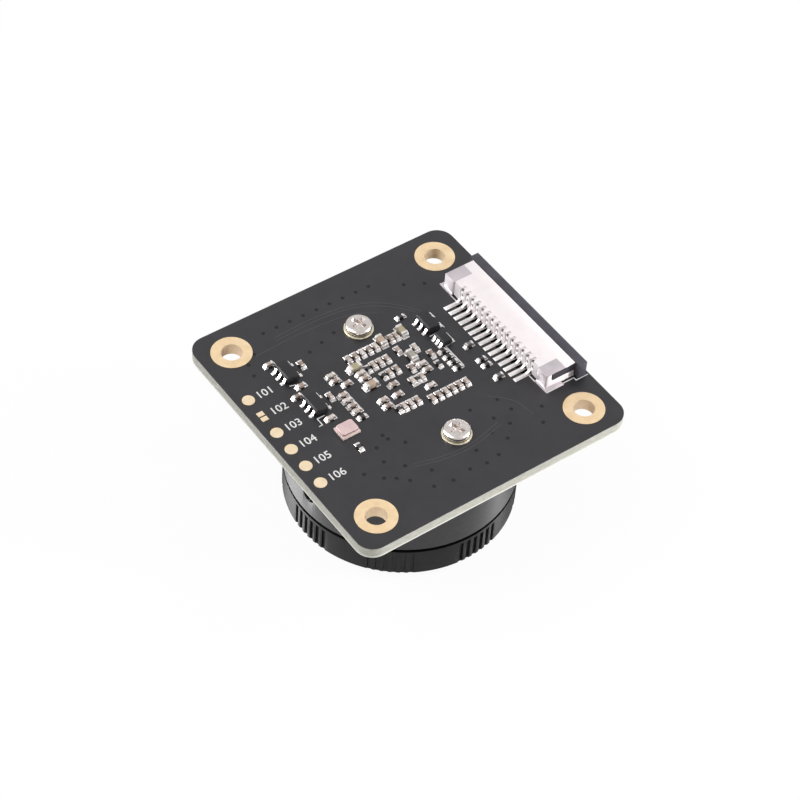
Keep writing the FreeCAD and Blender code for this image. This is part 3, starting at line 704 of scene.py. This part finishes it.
    def dressed(self, node: str, width: float, segments: int = 2, turn: float = 35.0) -> Piece:
        """Copy a CAD node, merge its triangles and round its sharp edges.

        Args:
            node: The node's name.
            width: Width of the rounding.
            segments: Steps of the rounding.
            turn: Degrees past which an edge counts as sharp.

        Returns:
            The copy.
        """
        copy = placed(node + "_dressed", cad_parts[node].data.copy())
        self.only(copy)
        bpy.ops.object.mode_set(mode="EDIT")
        bpy.ops.mesh.select_all(action="SELECT")
        bpy.ops.mesh.remove_doubles(threshold=0.002 * MM)
        bpy.ops.mesh.customdata_custom_splitnormals_clear()
        bpy.ops.mesh.dissolve_limited(angle_limit=math.radians(0.8))
        bpy.ops.object.mode_set(mode="OBJECT")
        self.soften(copy, width, segments, turn)
        return copy

    def dress(self, nodes: dict[str, str]) -> None:
        """Give CAD nodes that stay in view their finishes."""
        for node, look in nodes.items():
            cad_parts[node].data.materials[0] = self.looks[look]

    def finish(self, piece: Piece, name: str, look: str, body: Body = Body.MODULE,
               slot: Optional[str] = None, stands_for: Iterable[str] = ()) -> Piece:
        """Name a finished piece, dress it and let it ride on its body.

        Args:
            piece: The object.
            name: Its name.
            look: Name of its finish.
            body: What it moves with.
            slot: The record's slot, where it isn't called as the finish is. Not used.
            stands_for: CAD nodes that it replaces.

        Returns:
            The piece.
        """
        piece.name = name
        piece.data.name = name
        piece.data.materials.clear()
        piece.data.materials.append(self.looks[look])
        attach(piece, body.value)
        if stands_for:
            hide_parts(*stands_for)
        LOG.info("%s: %d faces", name, len(piece.data.polygons))
        return piece


def solids_of(node: str) -> list[Box]:
    """Find the separate solids of a CAD node.

    Args:
        node: The node's name.

    Returns:
        The lowest and highest corner of each, in millimetres.
    """
    mesh = bmesh.new()
    mesh.from_mesh(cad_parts[node].data)
    bmesh.ops.remove_doubles(mesh, verts=mesh.verts, dist=0.001 * MM)
    left = set(mesh.verts)
    found = []
    while left:
        reached = [left.pop()]
        for vertex in reached:
            for edge in vertex.link_edges:
                other = edge.other_vert(vertex)
                if other in left:
                    left.remove(other)
                    reached.append(other)
        sides = list(zip(*(vertex.co / MM for vertex in reached)))
        found.append((Vector(map(min, sides)), Vector(map(max, sides))))
    mesh.free()
    return sorted(found, key=lambda corners: (round(corners[0].x, 3), round(corners[0].y, 3)))


def turned_to(place: Vector, angle: float = 0.0) -> Matrix:
    """Matrix in metres for a place in millimetres and a turn round Z in degrees."""
    return Matrix.Translation(place * MM) @ Matrix.Rotation(math.radians(angle), 4, "Z")


@dataclass
class LensMount:
    """Housing, adapter ring and lock screw."""

    bench: Workbench
    edge: float = 0.07
    seam: tuple[float, float] = (4.93, 5.6)

    def build(self) -> None:
        """Round the edges of the turned pieces and paint shade in matte black on the faces of the seam between
        them.
        """
        housing = self.bench.dressed("lens_housing", self.edge)
        self.bench.finish(housing, "mount_barrel", "black_anodised_fine", stands_for=["lens_housing"])
        grip = self.bench.dressed("adapter_ring", self.edge * 0.7)
        self.bench.finish(grip, "grip_ring", "black_anodised", Body.ADAPTER, stands_for=["adapter_ring"])
        # painted shade: faces in the seam band get the matte black finish
        for piece in (housing, grip):
            piece.data.materials.append(self.bench.looks["seam_painted_shade"])
            for polygon in piece.data.polygons:
                polygon.material_index = int(self.seam[0] < polygon.center.z / MM < self.seam[1])
        lock = self.bench.dressed("lens_lock_screw", self.edge * 0.7)
        self.bench.finish(lock, "side_lock_screw", "black_steel", stands_for=["lens_lock_screw"])


@dataclass
class Board:
    """The board with its sleeves, vias, raised copper and white print."""

    bench: Workbench
    sleeve_wall: float = 0.03
    hole_radius: float = 1.35
    via_radius: float = 0.25
    ink: float = 0.012
    line: float = 0.13
    figure_size: float = 1.55
    figure_left: float = -16.35
    via_rows: list[tuple[Place, Place, int]] = field(default_factory=lambda: [
        ((-10.1, 15.6), (1.9, -0.05), 9), ((-7.1, 10.0), (2.1, 0.55), 3), ((-12.6, -9.2), (3.0, 0.3), 2),
        ((-7.9, -10.7), (-1.9, -1.0), 2), ((-11.0, -10.9), (2.3, -1.9), 2), ((-5.7, -12.9), (6.1, -0.4), 2),
        ((-6.9, -15.0), (2.4, -0.5), 2), ((-1.9, -15.2), (4.1, -0.05), 2), ((7.2, -8.3), (0.5, -2.1), 2),
        ((3.5, -7.9), (1.6, -2.5), 2), ((6.2, -12.1), (-2.7, 0.0), 2), ((4.6, -13.8), (-4.3, -1.7), 2),
        ((-7.4, -5.5), (0.2, -0.8), 2), ((-9.1, -6.7), (3.3, -1.1), 2), ((-10.2, 8.1), (-4.6, 2.3), 2),
        ((-14.4, 12.2), (1.5, 1.1), 2), ((11.2, 11.9), (-2.3, 1.2), 2), ((9.6, -14.1), (1.4, 2.1), 2),
    ])

    def build(self) -> None:
        """Build every piece of the board's surface and dress the board."""
        self.sleeves()
        self.vias()
        self.copper()
        self.print_marks()
        self.bench.dress({"circuit_board": "solder_mask", "mounting_pads": "gold_plate",
                          "test_pads": "pale_gold"})

    def sleeves(self) -> None:
        """Plated walls of the mounting holes, with a ring on the underside."""
        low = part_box("circuit_board")[0].z / MM
        made = []
        for start, end in solids_of("mounting_pads"):
            middle = ((start.x + end.x) / 2, (start.y + end.y) / 2)
            made.append(self.bench.tube(self.hole_radius, self.sleeve_wall, low, end.z, middle))
            radius = (end.x - start.x) / 2
            wall = radius - self.hole_radius + self.sleeve_wall
            made.append(self.bench.tube(radius, wall, low - self.ink, low, middle))
        self.bench.finish(self.bench.join(made), "hole_sleeves", "hole_plating", slot="gold_plate")

    def vias(self) -> None:
        """Small dark dimples where a hole is closed by the mask."""
        dot = self.bench.drum(self.via_radius, BOARD_TOP - 0.01, BOARD_TOP + self.ink, sides=14)
        with self.bench.picked(dot, lambda spot, normal: normal.z > 0.5):
            bpy.ops.mesh.inset(thickness=self.via_radius * 0.4 * MM)
            bpy.ops.transform.translate(value=(0, 0, -self.ink * 0.8 * MM))
        places = []
        for (x, y), (step_x, step_y), count in self.via_rows:
            places += [Vector((x + step_x * n, y + step_y * n, 0)) for n in range(count)]
        dots = self.bench.scatter(dot, map(turned_to, places))
        self.bench.finish(dots, "via_dimples", "dimple_mask", slot="solder_mask")

    def strip(self, route: list[Place], width: float, height: float) -> Piece:
        """Lay a flat strip along a route.

        Args:
            route: Places that it passes through.
            width: Its width.
            height: Its height above the board.

        Returns:
            The strip.
        """
        spots = [Vector(spot) for spot in route]
        ways = [(end - start).normalized() for start, end in zip(spots, spots[1:])]
        self.bench.clear()
        bpy.ops.mesh.primitive_grid_add(x_subdivisions=len(ways), y_subdivisions=1, size=MM)
        ribbon = bpy.context.object
        for vertex in ribbon.data.vertices:
            column = round((vertex.co.x / MM + 0.5) * len(ways))
            before, after = ways[max(column - 1, 0)], ways[min(column, len(ways) - 1)]
            across = (before + after).normalized().orthogonal()
            reach = width / 2 / max(across.dot(after.orthogonal()), 0.5)
            spot = spots[column] + across * math.copysign(reach, vertex.co.y)
            vertex.co = Vector((*spot, BOARD_TOP + height)) * MM
        thick = ribbon.modifiers.new("thick", "SOLIDIFY")
        thick.thickness = (height + 0.004) * MM
        thick.offset = -1
        bpy.ops.object.modifier_apply(modifier=thick.name)
        return ribbon

    @staticmethod
    def eased(route: list[Place], passes: int = 2) -> list[Place]:
        """Cut the corners of a route until it looks curved.

        Args:
            route: Places that it passes through.
            passes: How often its corners are cut.

        Returns:
            The smoother route.
        """
        for _ in range(passes):
            cut = [route[0]]
            for (x, y), (end_x, end_y) in zip(route, route[1:]):
                cut += [(x * 0.75 + end_x * 0.25, y * 0.75 + end_y * 0.25),
                        (x * 0.25 + end_x * 0.75, y * 0.25 + end_y * 0.75)]
            route = cut + [route[-1]]
        return route

    def copper(self) -> None:
        """Tracks that show faintly through the mask."""
        routes = [
            [(-9.5, 14.2), (-3.0, 14.5), (2.5, 13.6), (6.0, 11.2), (8.0, 8.4)],
            [(-9.5, 13.7), (-3.0, 14.0), (2.3, 13.1), (5.6, 10.8), (7.4, 8.6)],
            [(-13.0, 12.9), (-6.0, 13.2), (0.8, 12.6), (3.4, 10.9)],
            [(-7.0, -11.0), (-3.5, -12.0), (0.5, -12.3), (5.0, -11.2)],
            [(-7.0, -11.45), (-3.5, -12.45), (0.5, -12.75), (5.2, -11.65)],
            [(6.5, -7.2), (9.0, -9.5), (9.4, -12.5)],
        ]
        tracks = [self.strip(self.eased(route), 0.2, 0.012) for route in routes]
        self.bench.finish(self.bench.join(tracks), "masked_tracks", "masked_copper", slot="solder_mask")

    def figures(self, word: str, x: float, y: float, size: float) -> Piece:
        """Plain figures in white ink.

        Args:
            word: The figures.
            x: Where they start.
            y: Their middle.
            size: Their font size.

        Returns:
            The figures as a mesh.
        """
        self.bench.clear()
        bpy.ops.object.text_add(location=(0, 0, 0))
        text = bpy.context.object
        text.data.body = word
        text.data.size = size * MM
        text.data.extrude = self.ink * MM
        text.data.offset = 0.012 * MM
        text.data.resolution_u = 3
        text.data.align_y = "CENTER"
        bpy.ops.object.convert(target="MESH")
        text = bpy.context.object
        text.data.transform(turned_to(Vector((x, y, BOARD_TOP))))
        return text

    def print_marks(self) -> None:
        """Figures beside the test pads, and the outlines round larger parts."""
        pads = solids_of("test_pads")
        halves = [(low.y + high.y) / 2 for low, high in pads if high.y - low.y < 1.2]
        rounds = [(low.y + high.y) / 2 for low, high in pads if high.y - low.y > 1.2]
        heights = sorted(rounds + [sum(halves) / len(halves)], reverse=True)
        marks = []
        for number, y in enumerate(heights, start=1):
            marks.append(self.figures(str(100 + number), self.figure_left, y, self.figure_size))
        routes = [
            [(-12.2, 6.75), (-11.45, 6.55)], [(6.5, 4.3), (8.25, 4.3)], [(8.82, 5.6), (8.88, 4.6)],
            [(8.82, 7.6), (8.9, 6.55)], [(8.55, 3.5), (8.55, 2.05), (7.15, 1.95), (7.15, -1.75)],
            [(-10.15, 10.25), (-10.15, 9.2)], [(-10.15, 8.25), (-10.15, 7.25)],
            [(-10.15, 4.2), (-10.15, 3.2)], [(-10.15, 2.25), (-10.15, 1.1)],
            [(-11.3, 0.74), (-12.35, 0.72), (-12.35, -0.35), (-12.85, -0.4)],
        ]
        for side in (1, -1):
            routes += [
                [(12.7, side * 7.3), (12.7, side * 8.6)],
                [(15.3, side * 10.5), (17.0, side * 10.5), (17.0, side * 10.95), (18.8, side * 10.95)],
            ]
        marks += [self.strip(route, self.line, self.ink) for route in routes]
        self.bench.finish(self.bench.join(marks), "board_print", "white_print", slot="solder_mask")


@dataclass
class HousingScrews:
    """Two bright screws with a domed head and a cross recess."""

    bench: Workbench
    head_radius: float = 1.65
    side: float = 0.25
    crown: float = 0.35
    shank_radius: float = 1.0
    shaded_face_radius: float = 1.22
    recess_length: float = 2.1
    recess_width: float = 0.6
    recess_depth: float = 0.42
    turn: float = 20.0
    ring_radius: float = 1.84
    ring_wall: float = 0.6
    ring_top: float = 0.16
    dome: tuple[Place, ...] = ((0.34, 0.985), (0.3, 0.94), (0.22, 0.86), (0.14, 0.7))

    def build(self) -> None:
        """Model one screw and copy it."""
        solids = solids_of("board_screws")
        low, high = solids[0]
        seat = high.z - self.side - self.crown
        head = self.bench.drum(self.head_radius, seat, seat + self.side, sides=64)
        for lift, shrink in self.dome:
            with self.bench.picked(head, lambda spot, normal: normal.z > 0.99):
                bpy.ops.mesh.extrude_region_move(
                    TRANSFORM_OT_translate={"value": (0, 0, lift * self.crown * MM)})
                bpy.ops.transform.resize(value=(shrink, shrink, 1))
        self.bench.soften(head, 0.06, 2, 50)
        for angle in (0, 90):
            half = Vector((self.recess_length / 2, self.recess_width / 2, 0))
            base = Vector((0, 0, high.z - self.recess_depth))
            arm = self.bench.block(base - half, Vector((half.x, half.y, high.z + 0.1)))
            with self.bench.picked(arm, lambda spot, normal: normal.z < -0.5):
                bpy.ops.transform.resize(value=(0.6, 0.6, 1))
            arm.data.transform(Matrix.Rotation(math.radians(angle + self.turn), 4, "Z"))
            self.bench.cut(head, arm)
        shank = self.bench.drum(self.shank_radius, low.z, seat, sides=32)
        self.bench.soften(shank, 0.1, 1)
        screw = self.bench.join([head, shank])
        places = [(corner[0] + corner[1]) / 2 for corner in solids]
        screws = self.bench.scatter(screw, (turned_to(Vector((p.x, p.y, 0))) for p in places))
        self.bench.finish(screws, "bright_screws", "nickel_steel", stands_for=["board_screws"])
        # painted shade: the inner face and recess of each head take the darker nickel, so the rim looks
        # brighter
        screws.data.materials.append(self.bench.looks["nickel_face_shade"])
        for polygon in screws.data.polygons:
            spot = polygon.center / MM
            away = min(math.hypot(spot.x - p.x, spot.y - p.y) for p in places)
            polygon.material_index = int(away < self.shaded_face_radius and spot.z > seat)
        top = BOARD_TOP + self.ring_top
        rings = [self.bench.tube(self.ring_radius, self.ring_wall, BOARD_TOP, top, (p.x, p.y)) for p in places]
        collar = self.bench.join(rings)
        self.bench.soften(collar, 0.06)
        self.bench.finish(collar, "screw_rings", "pale_tin", slot="gold_plate")


@dataclass
class CableConnector:
    """Ribbon cable connector with its solder joints and its slider."""

    bench: Workbench
    joint_width: float = 0.6
    joint_height: float = 0.13
    pad_height: float = 0.045
    # size of the painted shade plates between the tails
    gap_length: float = 0.95
    gap_width: float = 0.6
    gap_height: float = 0.014
    recess: Triple = (0.2, -0.36, -0.03)
    recess_depth: float = 0.012
    # corners of the painted shade marks at the slot ends, from the housing's back top edge
    marks: tuple[tuple[Triple, Triple], ...] = (
        ((-0.02, -0.36, -0.3), (0.2, -0.03, -0.008)), ((-0.02, -0.34, -1.15), (0.1, -0.11, -0.82)))

    def build(self) -> None:
        """Round the moulded and bent pieces and solder them down."""
        plain = (
            ("connector_housing", "connector_shell", "ivory_plastic", Body.MODULE, 0.05),
            ("connector_contacts", "sheet_contacts", "tin_plate", Body.MODULE, 0.025),
            ("connector_anchors", "solder_anchors", "dull_tin", Body.MODULE, 0.04),
            ("connector_latch", "cable_slider", "slate_plastic", Body.LATCH, 0.07),
        )
        for node, name, look, body, edge in plain:
            piece = self.bench.dressed(node, edge)
            if node == "connector_housing":
                self.slot_recesses(piece)
            self.bench.finish(piece, name, look, body, stands_for=[node])
        self.contact_joints()
        self.anchor_joints()
        self.paint_gap_shade()
        self.paint_slot_shade()

    @staticmethod
    def rows() -> tuple[float, float, list[float]]:
        """Back and top of the housing, and where the contacts stand along Y."""
        low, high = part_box("connector_housing")
        return low.x / MM, high.z / MM, [(a.y + b.y) / 2 for a, b in solids_of("connector_contacts")]

    def contact_joints(self) -> None:
        """A bright joint over each contact tail."""
        back, _, middles = self.rows()
        tail = solids_of("connector_contacts")[0][0].x
        middle = middles[0]
        half = self.joint_width / 2
        start = Vector((tail - 0.1, middle - half, BOARD_TOP - 0.01))
        joint = self.bench.block(start, Vector((back - 0.04, middle + half, BOARD_TOP + self.pad_height)))
        with self.bench.picked(joint, lambda spot, normal: normal.z > 0.5):
            bpy.ops.mesh.inset(thickness=0.06 * MM)
            bpy.ops.transform.translate(value=(0, 0, (self.joint_height - self.pad_height) * MM))
            bpy.ops.transform.resize(value=(0.86, 0.8, 1))
        self.bench.soften(joint, 0.05, 2, 20)
        places = [Vector((0, y - middle, 0)) for y in middles]
        joints = self.bench.scatter(joint, map(turned_to, places))
        self.bench.finish(joints, "contact_joints", "solder")

    def anchor_joints(self) -> None:
        """Wide soldered pads under the two anchors."""
        made = []
        for side in (1, -1):
            sides = sorted((side * 8.5, side * 10.77))
            pad = self.bench.block(Vector((12.7, sides[0], BOARD_TOP - 0.01)),
                                   Vector((15.3, sides[1], BOARD_TOP + self.pad_height * 2)))
            self.bench.soften(pad, 0.07, 2)
            made.append(pad)
        self.bench.finish(self.bench.join(made), "anchor_joints", "solder")

    def paint_gap_shade(self) -> None:
        """Painted shade: near-black plates on the board between the tails, in front of the housing's wall."""
        back, _, middles = self.rows()
        half = self.gap_width / 2
        low, high = Vector((back - self.gap_length, -half, -0.004)), Vector((back, half, self.gap_height))
        gap = self.bench.plate(low, high)
        places = [Vector((0, (one + other) / 2, BOARD_TOP)) for one, other in zip(middles, middles[1:])]
        gaps = self.bench.scatter(gap, map(turned_to, places))
        self.bench.finish(gaps, "tail_gap_shade", "painted_gap_black", slot="solder_mask")

    def slot_recesses(self, shell: Piece) -> None:
        """Make room in the housing's top for the painted shade at the ends of the slots.

        Args:
            shell: The dressed housing.
        """
        back, top, middles = self.rows()
        reach, left, right = self.recess
        tool = self.bench.block(Vector((-0.1, left, -self.recess_depth)), Vector((reach, right, 0.1)))
        places = [Vector((back, y, top)) for y in middles]
        self.bench.cut(shell, self.bench.scatter(tool, map(turned_to, places)))

    def paint_slot_shade(self) -> None:
        """Painted shade: dark marks where the slots beside each contact's barb lie in shadow."""
        back, top, middles = self.rows()
        made = []
        for start, end in self.marks:
            mark = self.bench.block(Vector(start), Vector(end))
            self.bench.soften(mark, 0.02, 1)
            made.append(mark)
        mark = self.bench.join(made)
        places = [Vector((back, y, top)) for y in middles]
        marks = self.bench.scatter(mark, map(turned_to, places))
        self.bench.finish(marks, "slot_end_shade", "slot_shade", slot="ivory_plastic")


@dataclass
class ChipParts:
    """One family of small parts: ceramic bodies between two metal ends."""

    bench: Workbench
    family: str
    look: str
    slot: Optional[str] = None
    edge: float = 0.045
    fillet: float = 0.24
    spread: float = 0.08
    pad_margin: float = 0.09
    pad_height: float = 0.04
    bare_and_shade_margin: float = 0.27
    tones: tuple[float, ...] = tuple(math.modf(number * 0.618)[0] for number in range(34))

    def build(self) -> None:
        """Model one body, one end and one fillet, and copy them to every part."""
        bodies = solids_of(f"{self.family}_bodies")
        ends = solids_of(f"{self.family}_ends")
        self.bodies(bodies)
        self.ends(bodies, ends)

    def bodies(self, bodies: list[Box]) -> None:
        """Copy one body to every place, with a darker mask plate under each: bare mask without copper, darkened
        further as painted shade between the parts.

        Args:
            bodies: Corners of the CAD bodies.
        """
        size = bodies[0][1] - bodies[0][0]
        length, width = max(size.x, size.y), min(size.x, size.y)
        shape = Vector((length / 2 + 0.02, width / 2 - 0.035, 0))
        model = self.bench.block(-shape, Vector((shape.x, shape.y, size.z - 0.02)))
        self.bench.soften(model, self.edge)
        # darker plate under each part: bare mask, and painted shade between the parts
        half = Vector((length / 2 - 0.02, width / 2 + self.bare_and_shade_margin, 0.006))
        bare = self.bench.plate(Vector((-half.x, -half.y, -0.004)), half)
        matrices = []
        for low, high in bodies:
            middle = (low + high) / 2
            upright = high.y - low.y > high.x - low.x
            matrices.append(turned_to(Vector((middle.x, middle.y, low.z)), 90 if upright else 0))
        tones = [self.tones[number % len(self.tones)] for number in range(len(bodies))]
        made = self.bench.scatter(model, matrices, tones)
        name = f"{self.family}_blocks"
        self.bench.finish(made, name, self.look, slot=self.slot, stands_for=[f"{self.family}_bodies"])
        shades = self.bench.scatter(bare, matrices)
        self.bench.finish(shades, f"{self.family}_gaps", "bare_mask_and_shade", slot="solder_mask")

    def ends(self, bodies: list[Box], ends: list[Box]) -> None:
        """Copy one metal end with its fillet to both ends of every part.

        Args:
            bodies: Corners of the CAD bodies.
            ends: Corners of the CAD ends.
        """
        size = ends[0][1] - ends[0][0]
        thick, width = min(size.x, size.y), max(size.x, size.y)
        cap = self.bench.block(Vector((-thick / 2, -width / 2, 0)), Vector((thick / 2, width / 2, size.z)))
        self.bench.soften(cap, self.edge)
        slope = self.bench.block(Vector((thick / 2 - 0.02, -width / 2 - self.spread / 2, -0.01)),
                                 Vector((thick / 2 + self.fillet, width / 2 + self.spread / 2, size.z * 0.62)))
        with self.bench.picked(slope, lambda spot, across: spot.z > size.z * 0.5
                               and spot.x > thick / 2 + 0.1 and abs(across.y) > 0.9, edges=True):
            bpy.ops.transform.translate(value=(-self.fillet * 0.75 * MM, 0, 0))
        with self.bench.picked(slope, lambda spot, normal: normal.x > 0.3):
            bpy.ops.mesh.subdivide(number_cuts=2)
        self.bench.soften(slope, 0.03, 2, 25)
        pad = self.bench.block(Vector((-thick / 2, -width / 2 - self.pad_margin, -0.01)),
                               Vector((thick / 2 + self.fillet + 0.06, width / 2 + self.pad_margin,
                                       self.pad_height)))
        self.bench.soften(pad, 0.02, 1)
        matrices = []
        middles = [(low + high) / 2 for low, high in bodies]
        for low, high in ends:
            middle = (low + high) / 2
            owner = min(middles, key=lambda other: (other - middle).length)
            away = middle - owner
            angle = math.degrees(math.atan2(away.y, away.x))
            matrices.append(turned_to(Vector((middle.x, middle.y, low.z)), round(angle / 90) * 90))
        made = self.bench.scatter(self.bench.join([cap, slope, pad]), matrices)
        name = f"{self.family}_terminals"
        self.bench.finish(made, name, "solder", stands_for=[f"{self.family}_ends"])


@dataclass
class Packages:
    """Moulded chips with bent leads, and the crystal."""

    bench: Workbench
    pad: float = 0.05
    heel: float = 0.36
    toe: float = 0.12
    lid_corner: float = 0.32

    def build(self) -> None:
        """Round the cases, solder the leads and finish the crystal."""
        plain = (
            ("regulator_cases", "moulded_cases", "chip_case_plastic", 0.06),
            ("small_chip_case", "small_moulded_case", "chip_case_plastic", 0.05),
            ("regulator_leads", "bent_leads", "tin_plate", 0.025),
            ("small_chip_leads", "small_bent_leads", "tin_plate", 0.025),
            ("crystal_base", "crystal_tray", "package_ceramic", 0.04),
        )
        for node, name, look, edge in plain:
            self.bench.finish(self.bench.dressed(node, edge), name, look, stands_for=[node])
        self.crystal_cover()
        self.lead_joints()

    def crystal_cover(self) -> None:
        """The crystal's metal lid, with round corners."""
        low, high = (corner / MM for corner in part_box("crystal_lid"))
        lid = self.bench.block(low, high)
        with self.bench.picked(lid, lambda spot, along: abs(along.z) > 0.9, edges=True):
            bpy.ops.mesh.bevel(offset=self.lid_corner * MM, segments=5)
        self.bench.soften(lid, 0.06)
        self.bench.finish(lid, "crystal_cover", "rose_nickel", stands_for=["crystal_lid"])

    def lead_joints(self) -> None:
        """A low mound of solder under the foot of each lead."""
        made = []
        for leads, chips in (("regulator_leads", "regulator_cases"), ("small_chip_leads", "small_chip_case")):
            cases = solids_of(chips)
            for low, high in solids_of(leads):
                middle = (low + high) / 2
                case = min(cases, key=lambda other: ((other[0] + other[1]) / 2 - middle).length)
                outward = 1 if middle.x > (case[0].x + case[1].x) / 2 else -1
                tip = high.x if outward > 0 else low.x
                reach = sorted((tip - outward * self.heel, tip + outward * self.toe))
                mound = self.bench.block(Vector((reach[0], low.y - self.pad, BOARD_TOP - 0.01)),
                                         Vector((reach[1], high.y + self.pad, BOARD_TOP + 0.1)))
                self.bench.soften(mound, 0.05, 2)
                made.append(mound)
        self.bench.finish(self.bench.join(made), "lead_joints", "solder")


@dataclass
class SensorStack:
    """Filter, gasket and sensor, seen only through the front of the mount."""

    bench: Workbench

    def build(self) -> None:
        """Give each CAD node its finish."""
        self.bench.dress({"filter_glass": "infrared_filter", "dust_gasket": "foam", "sensor_die": "silicon",
                          "sensor_package": "package_ceramic", "sensor_glass": "cover_glass"})


@dataclass
class Studio:
    """Pale floor, soft lamps, white surroundings and the camera."""

    place: Vector = field(default_factory=lambda: Vector((-0.12698, -0.15745, 0.24135)))
    target: Vector = field(default_factory=lambda: Vector((-0.00250, -0.00211, 0.01955)))
    roll: float = 4.306
    focal_pixels: float = 2531.38
    image_side: int = 800
    sensor: float = 36.0
    floor_side: float = 4.0
    floor_white: float = 0.94
    dimmed: float = 0.4

    def build(self) -> None:
        """Set up everything that isn't the object."""
        self.camera()
        self.floor()
        self.lamps()
        self.world()
        bpy.context.scene.view_settings.view_transform = "Standard"

    def camera(self) -> None:
        """The camera at the photograph's place."""
        data = bpy.data.cameras.new("studio_camera")
        data.sensor_width = self.sensor
        data.lens = self.focal_pixels / self.image_side * self.sensor
        data.clip_start = 0.01
        camera = placed("studio_camera", data)
        level = (self.target - self.place).to_track_quat("-Z", "Y").to_matrix().to_4x4()
        lean = Matrix.Rotation(math.radians(self.roll), 4, "Z")
        camera.matrix_world = Matrix.Translation(self.place) @ level @ lean
        bpy.context.scene.camera = camera

    def floor(self) -> None:
        """A wide pale floor that keeps a faint shadow."""
        Workbench.clear()
        bpy.ops.mesh.primitive_plane_add(size=self.floor_side, location=(0, 0, 0))
        floor = bpy.context.object
        floor.name = "floor"
        nodes = Nodes(bpy.data.materials.new("floor_paper"))
        nodes.put(nodes.shader, {"Base Color": (0.9, 0.9, 0.9, 1), "Roughness": 0.9})
        seen = nodes.add("ShaderNodeLightPath").outputs["Is Camera Ray"]
        white = nodes.add("ShaderNodeEmission").outputs["Emission"]
        mixed = nodes.add("ShaderNodeMixShader")
        sources = (nodes.maths("MULTIPLY", seen, self.floor_white), nodes.shader.outputs["BSDF"], white)
        for number, source in enumerate(sources):
            nodes.join(source, mixed, number)
        nodes.join(mixed.outputs["Shader"], nodes.tree.nodes["Material Output"], "Surface")
        floor.data.materials.append(nodes.owner)

    def lamps(self) -> None:
        """A key lamp, a fill and two low ones for the bands on the barrel. The left one is only mirrored."""
        listed = (
            ("key_lamp", (-0.30, 0.12, 0.42), 0.35, 0.35, 1.65, True),
            ("fill_lamp", (0.30, -0.20, 0.34), 0.3, 0.3, 0.75, True),
            ("left_lamp", (-0.25, 0.21, 0.06), 0.2, 0.1, 3.8, False),
            ("right_lamp", (0.25, -0.21, 0.06), 0.05, 0.12, 1.1, True),
        )
        for name, place, width, height, power, lights_matt in listed:
            data = bpy.data.lights.new(name, "AREA")
            data.energy = power
            data.shape = "RECTANGLE"
            data.size = width
            data.size_y = height
            lamp = placed(name, data)
            lamp.location = place
            lamp.visible_diffuse = lights_matt
            lamp.rotation_euler = (Vector((0, 0, 0.015)) - Vector(place)).to_track_quat("-Z", "Y").to_euler()

    def world(self) -> None:
        """White where it is seen or mirrored, softer as a light."""
        nodes = Nodes(bpy.data.worlds.new("studio"), "Background")
        bpy.context.scene.world = nodes.owner
        nodes.put(nodes.shader, {"Color": (1, 1, 1, 1)})
        path = nodes.add("ShaderNodeLightPath")
        seen = nodes.maths("MAXIMUM", path.outputs["Is Camera Ray"], path.outputs["Is Transmission Ray"])
        shiny = nodes.maths("MAXIMUM", seen, path.outputs["Is Glossy Ray"])
        nodes.join(nodes.span(shiny, self.dimmed, 1.0, 0.0, 1.0), nodes.shader, "Strength")


def main() -> None:
    """Build the module, sub-assembly by sub-assembly, and then the studio."""
    logging.basicConfig(level=logging.INFO, format="%(name)s: %(message)s")
    bench = Workbench(finishes())
    assemblies = [
        SensorStack(bench),
        LensMount(bench),
        Board(bench),
        HousingScrews(bench),
        CableConnector(bench),
        ChipParts(bench, "capacitor", "tan_ceramic"),
        ChipParts(bench, "resistor", "resistor_coat", fillet=0.2),
        ChipParts(bench, "large_capacitor", "olive_ceramic", edge=0.07, tones=(0.55, 1.0, 1.0, 0.0, 0.55)),
        ChipParts(bench, "diode", "clouded_glass", "chip_case_plastic", fillet=0.2),
        Packages(bench),
        Studio(),
    ]
    for assembly in assemblies:
        LOG.info("building %s", type(assembly).__name__)
        assembly.build()


if __name__ == "__main__":
    main()
